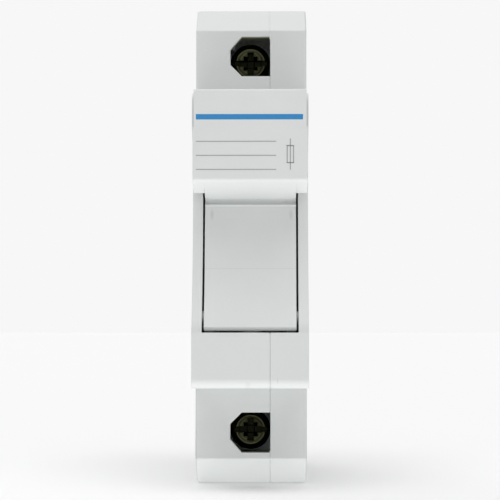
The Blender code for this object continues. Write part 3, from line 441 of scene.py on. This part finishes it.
def printInk(name, colour, worn):
    finish = Finish(name)
    wear = finish.noise(0.16 * mm, 3.0, 0.6)
    return finish.set(
        Base_Color=finish.mix(((wear - 0.45) * 1.2).clamped(), colour, worn),
        Roughness=0.42 + (wear - 0.5) * 0.2,
        Normal=finish.bump(wear, 0.002 * mm, 0.4),
    )


housingPlastic = mouldedPlastic("housingPlastic", plasticLook, 1.0, housingMarks, boreLook)
carrierPlastic = mouldedPlastic("carrierPlastic", plasticLook, 1.0, carrierMarks)
clipPlastic = mouldedPlastic("clipPlastic", plasticLook, 0.90)
fuseCeramic = glazedCeramic("fuseCeramic", (0.82, 0.80, 0.74), ceramicLook)
silverPlate = platedMetal("silverPlate", (0.80, 0.79, 0.76), 0.26, (0.62, 0.58, 0.50))
springSteel = platedMetal("springSteel", (0.42, 0.43, 0.45), 0.30, (0.33, 0.33, 0.34))
zincPlate = platedMetal("zincPlate", (0.62, 0.64, 0.66), 0.34, (0.50, 0.52, 0.55))
oliveZinc = olivePassivation("oliveZinc", screwLook)
greyInk = printInk("greyInk", (0.30, 0.31, 0.32), (0.40, 0.41, 0.42))
blueInk = printInk("blueInk", (0.016, 0.20, 0.46), (0.03, 0.26, 0.53))
print("finishes made")


# moulded and stamped parts, from the frame's own solids with their edges broken

edgeSettings = {
    # node: body, slot, finish, kind of part
    "housing_main": ("housing", "housing_plastic", housingPlastic, "shell"),
    "housing_cover": ("housing", "housing_plastic", housingPlastic, "shell"),
    "fuse_carrier": ("carrier", "housing_plastic", carrierPlastic, "carrier"),
    "rail_clip": ("clip", "clip_plastic", clipPlastic, "clip"),
    "upper_terminal_cage": ("upper_cage", "zinc_plating", zincPlate, "cage"),
    "lower_terminal_cage": ("lower_cage", "zinc_plating", zincPlate, "cage"),
    "upper_contact": ("housing", "silvered_copper", silverPlate, "strip"),
    "lower_contact": ("housing", "silvered_copper", silverPlate, "strip"),
    "upper_contact_spring": ("housing", "spring_steel", springSteel, "thinStrip"),
    "lower_contact_spring": ("housing", "spring_steel", springSteel, "thinStrip"),
}
edgeWidths = {
    "shell": {"plain": 0.09 * mm, "outer": 0.34 * mm, "seam": 0.04 * mm, "mouth": 0.15 * mm},
    "carrier": {"plain": 0.07 * mm},
    "clip": {"plain": 0.20 * mm},
    "cage": {"plain": 0.16 * mm},
    "strip": {"plain": 0.08 * mm},
    "thinStrip": {"plain": 0.05 * mm},
}
edgeRules = {"flatUnder": 0.6, "brokenOver": 34}     # degrees between the faces beside an edge
shell = {
    "side": cadBox[1].x,
    "mainEnd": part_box("housing_main")[1].x,
    "coverEnd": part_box("housing_cover")[0].x,
    "shoulder": -44.0 * mm,      # the front of the two shoulders
    "nose": 22.4 * mm,           # half the height of the nose
    "rivetReach": 2.6 * mm,      # edges this near to a rivet belong to its seat
    "onSide": 0.001 * mm,        # how close a point of the flat side lies to it
}
shellFit = {
    "wall": (7.15 * mm, -0.075 * mm),     # the walls beside the panel: their place, and the move outwards
    "ledge": (-14.15 * mm, 0.12 * mm),    # the ledge under the panel comes up to it
    "ledgeFront": -59.9 * mm,
    "holeEnd": (32.6 * mm, 0.27 * mm),    # each screwdriver hole's outer edge, drawn out by the draft
    "holeDeep": -37.0 * mm,
    "holeLeft": -3.3 * mm,
}
carrierFit = {
    "panel": (6.85 * mm, 0.075 * mm),     # the panel's sides: their place, and the move outwards
    "groove": {"front": -54.51 * mm, "low": 5.5 * mm, "high": 6.4 * mm, "back": -53.5 * mm, "kept": 0.35},
    "gripEnd": 8.5 * mm,                  # only the ends of the wide grip reach further out
    "gripFrom": 6.8 * mm,
    "underBack": -55.3 * mm,              # the grip's underside lies in front of this
    "underLow": 8.0 * mm,                 # and under this, or under underHigh at its front
    "underHigh": 9.5 * mm,
    "underFront": -56.0 * mm,
    "gripStep": -0.05 * mm,               # the wide grip comes flush with the middle
    "gripBack": -55.85 * mm,              # its points behind this move forward and up
    "gripMove": (-0.65 * mm, 0.16 * mm),
}
screwHole = {
    "mouthX": (-3.32 * mm, 3.05 * mm),    # where the edges of the mouth lie
    "mouthZ": (26.58 * mm, 32.9 * mm),
    "pocketX": (-6.4 * mm, 5.6 * mm),     # the room behind the front wall
    "pocketY": (-42.4 * mm, -34.8 * mm),
    "pocketZ": (26.2 * mm, 33.25 * mm),
}
rivetNodes = [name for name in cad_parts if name.startswith("rivet")]
rivetCentres = [sum(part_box(name), Vector()) / 2 for name in rivetNodes]


def camel(name):
    first, *rest = name.split("_")
    return first + "".join(word.capitalize() for word in rest)


def kindOfEdge(a, b):
    # where an edge lies on the shells decides how far it is broken
    both = (a, b)
    if all(shell["mainEnd"] - near < p.x < shell["coverEnd"] + near for p in both):
        return "seam"
    if all(abs(p.x) > shell["side"] - near for p in both):
        nearRivet = any((a - centre).yz.length < shell["rivetReach"] for centre in rivetCentres)
        onNose = all(abs(p.z) < shell["nose"] and p.y < shell["shoulder"] + near for p in both)
        return "plain" if nearRivet or onNose else "outer"
    atMouth = all(
        abs(p.y - shell["shoulder"]) < near
        and screwHole["mouthX"][0] < p.x < screwHole["mouthX"][1]
        and screwHole["mouthZ"][0] < abs(p.z) < screwHole["mouthZ"][1]
        for p in both
    )
    return "mouth" if atMouth else "plain"


def mergeFlat(piece):
    editAll(piece)
    bpy.ops.mesh.remove_doubles(threshold=nodeWeld)
    bpy.ops.mesh.dissolve_limited(angle_limit=math.radians(edgeRules["flatUnder"]))
    bpy.ops.object.mode_set(mode="OBJECT")


def widen(points, half, wider):
    for p in points:
        if abs(abs(p.x) - half) < near:
            p.x += math.copysign(wider, p.x)


# mouldings fit each other more closely than solids that must not touch

def closeShellFit(piece):
    s = shellFit
    points = [v.co for v in piece.data.vertices]
    ledge, ledgeRise = s["ledge"]
    holeEnd, holeDraft = s["holeEnd"]
    for p in points:
        if abs(p.z - ledge) < near and p.y < s["ledgeFront"]:
            p.z += ledgeRise
        if abs(abs(p.z) - holeEnd) < near and p.y < s["holeDeep"] and p.x > s["holeLeft"]:
            p.z += math.copysign(holeDraft, p.z)
    widen(points, *s["wall"])


def closeCarrierFit(piece):
    s = carrierFit
    points = [v.co for v in piece.data.vertices]
    # the outline of the grip's own underside, found by its points at the grip's ends
    ends = [p.yz.copy() for p in points if abs(p.x) > s["gripEnd"] and p.y < s["underBack"]]
    outline = [(y, z) for y, z in ends if z < s["underLow"] or (z < s["underHigh"] and y < s["underFront"])]
    onUnderside = [
        p for p in points
        if abs(p.x) > s["gripFrom"] and any((p.yz - Vector(place)).length < near / 4 for place in outline)
    ]
    groove = s["groove"]
    for p in points:
        if groove["front"] < p.y < groove["back"] and groove["low"] < p.z < groove["high"]:
            p.y = groove["front"] + (p.y - groove["front"]) * groove["kept"]
    forward, up = s["gripMove"]
    for p in onUnderside:
        if p.y > s["gripBack"]:
            p.y += forward
            p.z += up
        else:
            p.z += s["gripStep"]
    widen(points, *s["panel"])


def copyOfNode(nodeName):
    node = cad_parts[nodeName]
    piece = node.copy()
    piece.data = node.data.copy()
    scene.collection.objects.link(piece)
    piece.name = camel(nodeName) + "Body"
    editAll(piece)
    bpy.ops.mesh.remove_doubles(threshold=nodeWeld)
    bpy.ops.object.mode_set(mode="OBJECT")
    return piece


def openPockets(piece):
    # behind its front wall each screwdriver hole opens into a wider room
    cutters = []
    for side in (1, -1):
        lowZ, highZ = sorted(side * z for z in screwHole["pocketZ"])
        low = (screwHole["pocketX"][0], screwHole["pocketY"][0], lowZ)
        high = (screwHole["pocketX"][1], screwHole["pocketY"][1], highZ)
        cutters.append(barPiece(low, high, "pocketCutter"))
    cutAway(piece, cutters)


def breakEdges(piece, kind):
    widths = edgeWidths[kind]
    widest = max(widths.values())
    mesh = bmesh.new()
    mesh.from_mesh(piece.data)
    weight = mesh.edges.layers.float.new("bevel_weight_edge")
    for edge in mesh.edges:
        if len(edge.link_faces) == 2 and edge.calc_face_angle() > math.radians(edgeRules["brokenOver"]):
            place = kindOfEdge(*(v.co for v in edge.verts)) if kind == "shell" else "plain"
            edge[weight] = widths[place] / widest
    mesh.to_mesh(piece.data)
    mesh.free()
    bevel = piece.modifiers.new("edges", "BEVEL")
    bevel.width = widest
    bevel.segments = 3 if kind == "shell" else 2
    bevel.limit_method = "WEIGHT"
    bevel.use_clamp_overlap = False
    applyModifiers(piece)


def refillSides(piece):
    # the flat side is filled anew, so that no long thin face runs past the rivets' holes
    mesh = bmesh.new()
    mesh.from_mesh(piece.data)
    flat = {
        face for face in mesh.faces
        if all(abs(abs(v.co.x) - shell["side"]) < shell["onSide"] for v in face.verts)
    }
    outwards = math.copysign(1, next(iter(flat)).verts[0].co.x)
    rim = [e for e in mesh.edges if sum(f in flat for f in e.link_faces) == 1]
    bmesh.ops.delete(mesh, geom=[f for f in mesh.faces if f in flat], context="FACES")
    made = bmesh.ops.triangle_fill(
        mesh, edges=rim, use_beauty=True, use_dissolve=False, normal=(outwards, 0, 0),
    )
    for face in made["geom"]:
        if isinstance(face, bmesh.types.BMFace) and face.normal.x * outwards < 0:
            face.normal_flip()
    mesh.to_mesh(piece.data)
    mesh.free()


def brokenEdges(nodeName, body, slotName, finish, kind):
    piece = copyOfNode(nodeName)
    if kind == "shell":
        closeShellFit(piece)
        openPockets(piece)
    if kind == "carrier":
        closeCarrierFit(piece)
    mergeFlat(piece)
    breakEdges(piece, kind)
    if kind == "shell":
        refillSides(piece)
    smoothShade(piece)
    return finishPiece(piece, body, finish, [nodeName])


# the lip of the deep shell, which closes the seam from behind

tongueSettings = {"below": 0.07 * mm, "reach": 0.10 * mm}


def seamTongue():
    # drawn from the shell's end face, before the shell's own node is replaced
    piece = copyOfNode("housing_main")
    mergeFlat(piece)
    mesh = bmesh.new()
    mesh.from_mesh(piece.data)
    others = [
        f for f in mesh.faces
        if f.normal.x < 0.99 or f.calc_center_median().x < shell["mainEnd"] - near / 2
    ]
    bmesh.ops.delete(mesh, geom=others, context="FACES")
    mesh.to_mesh(piece.data)
    mesh.free()
    editAll(piece)
    bpy.ops.mesh.inset(thickness=tongueSettings["below"], use_boundary=True)
    bpy.ops.mesh.select_all(action="INVERT")
    bpy.ops.mesh.delete(type="FACE")
    bpy.ops.mesh.select_all(action="SELECT")
    bpy.ops.mesh.extrude_region_move(TRANSFORM_OT_translate={"value": (tongueSettings["reach"], 0, 0)})
    bpy.ops.object.mode_set(mode="OBJECT")
    settle(piece, "seamTongue")
    return finishPiece(piece, "housing", housingPlastic)


seamTongue()
for nodeName, values in edgeSettings.items():
    brokenEdges(nodeName, *values)
print("edges broken on", len(edgeSettings), "parts")


# the print on the label's face

printSettings = {
    "face": -61.0 * mm,
    "thickness": 0.015 * mm,
    "stripe": (-8.1 * mm, 17.75 * mm, 7.9 * mm, 18.55 * mm),      # left, low, right, high
    "rules": [(-8.1 * mm, z * mm, 3.9 * mm, (z + 0.14) * mm) for z in (14.4, 12.3, 10.2)],
    "fuse": (5.45 * mm, 11.2 * mm, 6.55 * mm, 13.9 * mm),
    "wire": 1.0 * mm,
    "line": 0.16 * mm,
    "corner": (0.06 * mm, 0.3),       # its radius, and the most it takes of a stroke's width
}


def inkPatch(left, low, right, high):
    # a stroke with round corners, as thick as the film of ink
    clearSelection()
    middle = ((left + right) / 2, printSettings["face"], (low + high) / 2)
    bpy.ops.mesh.primitive_plane_add(size=1, location=middle, rotation=(math.radians(90), 0, 0))
    patch = bpy.context.object
    patch.scale = (right - left, high - low, 1)
    settle(patch, "inkPatch")
    editAll(patch)
    radius, share = printSettings["corner"]
    radius = min(radius, (high - low) * share, (right - left) * share)
    bpy.ops.mesh.bevel(affect="VERTICES", offset=radius, segments=3)
    bpy.ops.mesh.select_all(action="SELECT")
    bpy.ops.mesh.extrude_region_move(TRANSFORM_OT_translate={"value": (0, -printSettings["thickness"], 0)})
    bpy.ops.mesh.select_all(action="SELECT")
    bpy.ops.mesh.normals_make_consistent(inside=False)
    bpy.ops.object.mode_set(mode="OBJECT")
    return patch


def fuseSign():
    # the plain sign for a fuse: a box on a wire
    left, low, right, high = printSettings["fuse"]
    line, wire = printSettings["line"], printSettings["wire"]
    middle = (left + right) / 2
    strokes = [
        (left, low, left + line, high),
        (right - line, low, right, high),
        (left, low, right, low + line),
        (left, high - line, right, high),
        (middle - line / 2, low - wire, middle + line / 2, high + wire),
    ]
    return [inkPatch(*stroke) for stroke in strokes]


stripe = settle(inkPatch(*printSettings["stripe"]), "printStripe")
finishPiece(stripe, "carrier", blueInk)
rules = joined([inkPatch(*rule) for rule in printSettings["rules"]], "printRules")
finishPiece(rules, "carrier", greyInk)
sign = joined(fuseSign(), "printFuse")
finishPiece(sign, "carrier", greyInk)
print("label printed")


# the clamp screws, with a combined recess and a cut thread

screwSettings = {
    "headRadius": 3.2 * mm,
    "dish": [(0.36, 0), (0.36, 1.40), (0.34, 1.55), (0.28, 1.75), (0.19, 1.95), (0.07, 2.15)],   # in mm
    "rimRadius": 2.3 * mm,
    "headHeight": 3.0 * mm,
    "chamfer": 0.9 * mm,
    "throat": (0.4 * mm, 0.3 * mm),               # under the head: how long, and how far out it starts
    "point": (0.5 * mm, 0.4 * mm),                # the chamfer at the tip: along and across
    "edge": 0.07 * mm,
    "edgeOver": 50,                               # degrees
    "pit": (1.75 * mm, 0.75 * mm, 2.2 * mm),      # half diagonals at the top and the bottom, and the depth
    "recessSpan": 3.6 * mm,
    "recessWidth": 1.0 * mm,
    "recessDepth": 1.8 * mm,
    "slotSpan": 5.2 * mm,
    "slotWidth": 0.8 * mm,
    "slotDepth": 1.0 * mm,
    "crest": 2.46 * mm,
    "root": 2.05 * mm,
    "pitch": 0.8 * mm,
    "flank": 0.42,            # as a share of the pitch
    "start": 0.3 * mm,        # from the head's underside
    "turns": 14,
    "stepsPerTurn": 24,
    "tip": 14.7 * mm,
}


def screwHead():
    s = screwSettings
    throatLong, throatOut = s["throat"]
    pointLong, pointIn = s["point"]
    corners = [(a * mm, r * mm, 0) for a, r in s["dish"]] + [
        (0, s["rimRadius"], 0.12 * mm),
        (s["chamfer"], s["headRadius"], 0.2 * mm),
        (s["headHeight"], s["headRadius"], 0.15 * mm),
        (s["headHeight"], s["root"] + throatOut, 0.1 * mm),
        (s["headHeight"] + throatLong, s["root"], 0.1 * mm),
        (s["tip"] - pointLong, s["root"], 0.1 * mm),
        (s["tip"], s["root"] - pointIn, 0.1 * mm),
        (s["tip"], 0, 0),
    ]
    head = turnedPiece("screwHead", roundedProfile(corners), (0, 0, 0), "Y")
    cutters = []
    for spanX, spanZ, depth in (
        (s["recessSpan"], s["recessWidth"], s["recessDepth"]),
        (s["slotSpan"], s["slotWidth"], s["slotDepth"]),
        (s["recessWidth"], s["recessSpan"], s["recessDepth"]),
    ):
        cutters.append(barPiece((-spanX / 2, -mm, -spanZ / 2), (spanX / 2, depth, spanZ / 2), "recessCutter"))
    wide, narrow, depth = s["pit"]
    clearSelection()
    bpy.ops.mesh.primitive_cone_add(
        vertices=4, radius1=narrow, radius2=wide, depth=depth,
        location=(0, depth / 2, 0), rotation=(math.radians(90), math.radians(45), 0),
    )
    cutters.append(settle(bpy.context.object, "pitCutter"))
    cutAway(head, cutters)
    bevel = head.modifiers.new("edges", "BEVEL")
    bevel.width = s["edge"]
    bevel.segments = 2
    bevel.limit_method = "ANGLE"
    bevel.angle_limit = math.radians(s["edgeOver"])
    applyModifiers(head)
    return head


def screwThread():
    s = screwSettings
    start = s["headHeight"] + s["start"]
    end = start + s["pitch"]
    flank = s["pitch"] * s["flank"]
    points = [(start, s["root"]), (start + flank, s["crest"]), (end - flank, s["crest"]), (end, s["root"])]
    clearSelection()
    bpy.ops.mesh.primitive_plane_add(size=0.1 * mm, location=(0, points[0][0], points[0][1]))
    thread = bpy.context.object
    bpy.ops.object.mode_set(mode="EDIT")
    bpy.ops.mesh.select_all(action="SELECT")
    bpy.ops.mesh.merge(type="CENTER")
    for before, after in zip(points, points[1:]):
        step = (0, after[0] - before[0], after[1] - before[1])
        bpy.ops.mesh.extrude_region_move(TRANSFORM_OT_translate={"value": step})
    bpy.ops.object.mode_set(mode="OBJECT")
    settle(thread, "screwThread")
    winding = thread.modifiers.new("winding", "SCREW")
    winding.axis = "Y"
    winding.screw_offset = s["pitch"]
    winding.iterations = s["turns"]
    winding.steps = s["stepsPerTurn"]
    winding.render_steps = s["stepsPerTurn"]
    winding.use_merge_vertices = True
    winding.merge_threshold = pieceWeld
    applyModifiers(thread)
    editAll(thread)
    bpy.ops.mesh.remove_doubles(threshold=pieceWeld)
    bpy.ops.mesh.normals_make_consistent(inside=False)
    bpy.ops.object.mode_set(mode="OBJECT")
    return thread


screw = joined([screwHead(), screwThread()], "clampScrew")
for label in ("upper", "lower"):
    node = f"{label}_terminal_screw"
    lowCorner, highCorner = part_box(node)
    piece = screw.copy()
    piece.data = screw.data.copy()
    scene.collection.objects.link(piece)
    piece.location = ((lowCorner.x + highCorner.x) / 2, lowCorner.y, (lowCorner.z + highCorner.z) / 2)
    settle(piece, label + "ClampScrew")
    smoothShade(piece, "screw")
    finishPiece(piece, f"{label}_screw", oliveZinc, [node])
bpy.data.objects.remove(screw, do_unlink=True)
print("screws made")


# the tubular rivets, rolled over at both ends

rivetSettings = {
    "bore": 0.7 * mm,
    "shank": 1.2 * mm,
    "flange": 2.0 * mm,
    "flangeHeight": 0.5 * mm,
    "funnel": (0.35 * mm, 0.28 * mm),     # along the bore, and how much wider it ends
    "crown": (0.06 * mm, 0.30 * mm),      # the flange falls away by the first over the second
    "rim": 0.12 * mm,
    "underEdge": 0.1 * mm,
}


def rivetPiece(name, node):
    s = rivetSettings
    lowCorner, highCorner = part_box(node)
    end = highCorner.x
    under = end - s["flangeHeight"]
    funnelLong, funnelOut = s["funnel"]
    fall, fallWidth = s["crown"]
    half = [
        (0.0, s["bore"], 0),
        (end - funnelLong, s["bore"], 0.1 * mm),
        (end, s["bore"] + funnelOut, 0.18 * mm),
        (end - fall, s["flange"] - fallWidth, 0.2 * mm),
        (under + s["rim"], s["flange"], 0.1 * mm),
        (under, s["flange"] - s["underEdge"], 0.05 * mm),
        (under, s["shank"], 0.08 * mm),
        (0.0, s["shank"], 0),
    ]
    right = roundedProfile(half)
    left = [(-a, r) for a, r in reversed(right)]
    profile = right + left[1:-1]
    centre = (lowCorner + highCorner) / 2
    return turnedPiece(name, profile, centre, "X", 40, closed=True)


for node in rivetNodes:
    piece = smoothShade(rivetPiece(camel(node) + "Tube", node), "turned")
    finishPiece(piece, "housing", zincPlate, [node])
print("rivets made")


# the fuse link

fuseSettings = {
    "cap": 5.15 * mm,
    "capLength": 10.0 * mm,
    "sheet": 0.3 * mm,
    "half": 19.0 * mm,
    "tube": 4.95 * mm,
    "neck": 4.55 * mm,
    "neckPlay": 0.3 * mm,
    "dimple": (1.3 * mm, 0.3 * mm, 0.25 * mm),     # radius, wall and depth of the hollow in each end
    "corner": 0.55 * mm,
    "crimp": (3.3 * mm, 0.2 * mm, 0.08 * mm),      # how far from the end, half width and depth
}


def capPiece(name, node, side):
    s = fuseSettings
    lowCorner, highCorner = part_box(node)
    centre = (0, (lowCorner.y + highCorner.y) / 2, 0)
    end = s["half"]
    mouth = end - s["capLength"]
    dimpleRadius, dimpleWall, dimpleDepth = s["dimple"]
    crimp, crimpHalf, crimpDepth = s["crimp"]
    corners = [
        (end - dimpleDepth, 0, 0),
        (end - dimpleDepth, dimpleRadius - dimpleWall, 0.2 * mm),
        (end, dimpleRadius, 0.2 * mm),
        (end, s["cap"], s["corner"]),
        (end - crimp + crimpHalf, s["cap"], 0.2 * mm),
        (end - crimp, s["cap"] - crimpDepth, 0.2 * mm),
        (end - crimp - crimpHalf, s["cap"], 0.2 * mm),
        (mouth, s["cap"], 0.1 * mm),
        (mouth, s["cap"] - s["sheet"], 0.05 * mm),
        (end - s["sheet"], s["cap"] - s["sheet"], 0.3 * mm),
        (end - s["sheet"] - dimpleDepth, 0, 0),
    ]
    profile = [(side * a, r) for a, r in roundedProfile(corners)]
    return turnedPiece(name, profile, centre, "Z", 64)


def tubePiece():
    s = fuseSettings
    lowCorner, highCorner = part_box("fuse_tube")
    centre = (0, (lowCorner.y + highCorner.y) / 2, 0)
    end = highCorner.z
    shelf = s["half"] - s["capLength"] - s["neckPlay"]
    upper = roundedProfile([
        (0.0, s["tube"], 0),
        (shelf, s["tube"], 0.25 * mm),
        (shelf, s["neck"], 0.05 * mm),
        (end, s["neck"], 0.3 * mm),
        (end, 0, 0),
    ])
    lower = [(-a, r) for a, r in reversed(upper)]
    return turnedPiece("fuseTubeBody", lower + upper[1:], centre, "Z", 64)


for label, side in (("upper", 1), ("lower", -1)):
    piece = smoothShade(capPiece(label + "FuseCap", "fuse_cap_" + label, side), "turned")
    finishPiece(piece, "carrier", silverPlate, ["fuse_cap_" + label])
finishPiece(smoothShade(tubePiece(), "turned"), "carrier", fuseCeramic, ["fuse_tube"])
print("fuse link made")


# the biting edges on each clamp's floor

biteSettings = {
    "count": 4,
    "spacing": 1.25 * mm,
    "radius": 0.3 * mm,
    "length": 6.2 * mm,
    "floor": -16.75 * mm,
    "edge": 0.04 * mm,
}


def biteEdges(label):
    s = biteSettings
    lowCorner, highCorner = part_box(f"{label}_terminal_cage")
    middle = (lowCorner + highCorner) / 2
    bars = []
    for i in range(s["count"]):
        z = middle.z + (i - (s["count"] - 1) / 2) * s["spacing"]
        clearSelection()
        bpy.ops.mesh.primitive_cylinder_add(
            vertices=3, radius=s["radius"], depth=s["length"],
            location=(middle.x, s["floor"], z), rotation=(math.radians(90), 0, math.radians(90)),
        )
        bars.append(settle(bpy.context.object, "bite"))
        editAll(bars[-1])
        bpy.ops.mesh.bevel(offset=s["edge"], segments=2)
        bpy.ops.object.mode_set(mode="OBJECT")
    piece = smoothShade(joined(bars, label + "ClampTeeth"), "turned")
    return finishPiece(piece, f"{label}_cage", zincPlate)


for label in ("upper", "lower"):
    biteEdges(label)
# the coil stays the frame's own, because its joint shortens it
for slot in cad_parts["rail_clip_spring"].material_slots:
    slot.material = springSteel
print("clamps and spring finished")


# camera, floor and light

cameraSettings = {
    "distance": 273.5 * mm,     # from the nose's front
    "x": 2.96 * mm,
    "z": -13.78 * mm,
    "yaw": 0.623,               # in degrees, as the pitch is
    "pitch": 2.518,
    "lens": 132.54,
    "sensor": 36,
    "nearest": 0.01,            # in metres
}
lowest = cadBox[0]
bpy.ops.object.camera_add(
    location=(cameraSettings["x"], lowest.y - cameraSettings["distance"], cameraSettings["z"]),
    rotation=(math.radians(90 + cameraSettings["pitch"]), 0, math.radians(cameraSettings["yaw"])),
)
camera = bpy.context.object
camera.data.sensor_width = cameraSettings["sensor"]
camera.data.lens = cameraSettings["lens"]
camera.data.clip_start = cameraSettings["nearest"]
scene.camera = camera

studio = {
    "floorSize": 60.0,
    "floorColour": (0.90, 0.90, 0.90),
    "floorRoughness": 0.9,
    "floorSpecular": 0.1,
    "background": (0.93, 0.93, 0.93),
    "worldColour": (1.0, 1.0, 1.0),
    "worldStrength": 0.29,
}
sunSettings = {
    # name: strength, turn about X, Y and Z in degrees, softness in degrees
    "highSun": (1.44, (10, 0, 0), 60),
    "frontSun": (0.78, (38, 0, 0), 60),
    "lowSun": (1.70, (159, 0, 0), 60),     # comes up through the floor, as from a light table
    "backSun": (0.50, (-50, 0, 25), 60),   # only the back sees it
}

clearSelection()
bpy.ops.mesh.primitive_plane_add(size=studio["floorSize"], location=(0, 0, lowest.z))
floor = settle(bpy.context.object, "studioFloor")
floor.visible_shadow = False      # lets the low sun through
floorFinish = Finish(
    "studioFloor",
    Base_Color=studio["floorColour"],
    Roughness=studio["floorRoughness"],
    Specular_IOR_Level=studio["floorSpecular"],
)
floor.data.materials.append(floorFinish.material)

# the object is lit by the world's plain light, while the camera and reflections see the backdrop
world = bpy.data.worlds.new("studio")
world.use_nodes = True
scene.world = world
sky = NodeWork(world.node_tree)
cameraRay, glossyRay, transmissionRay = [
    sky.add("ShaderNodeLightPath", {}, {}, f"Is {kind} Ray") for kind in ("Camera", "Glossy", "Transmission")
]
seen = cameraRay.math("MAXIMUM", glossyRay).math("MAXIMUM", transmissionRay)
light = world.node_tree.nodes["Background"]
sky.feed(light.inputs["Color"], studio["worldColour"])
sky.feed(light.inputs["Strength"], studio["worldStrength"])
backdrop = sky.add("ShaderNodeBackground", {}, {"Color": studio["background"]})
mixed = sky.add("ShaderNodeMixShader", {}, {0: seen, 1: Socket(sky, light.outputs[0]), 2: backdrop})
sky.feed(world.node_tree.nodes["World Output"].inputs["Surface"], mixed)

for name, (strength, turn, softness) in sunSettings.items():
    bpy.ops.object.light_add(type="SUN", rotation=[math.radians(a) for a in turn])
    sun = bpy.context.object
    sun.name = name
    sun.data.energy = strength
    sun.data.angle = math.radians(softness)

scene.view_settings.view_transform = "Standard"
print("camera, floor and light set")
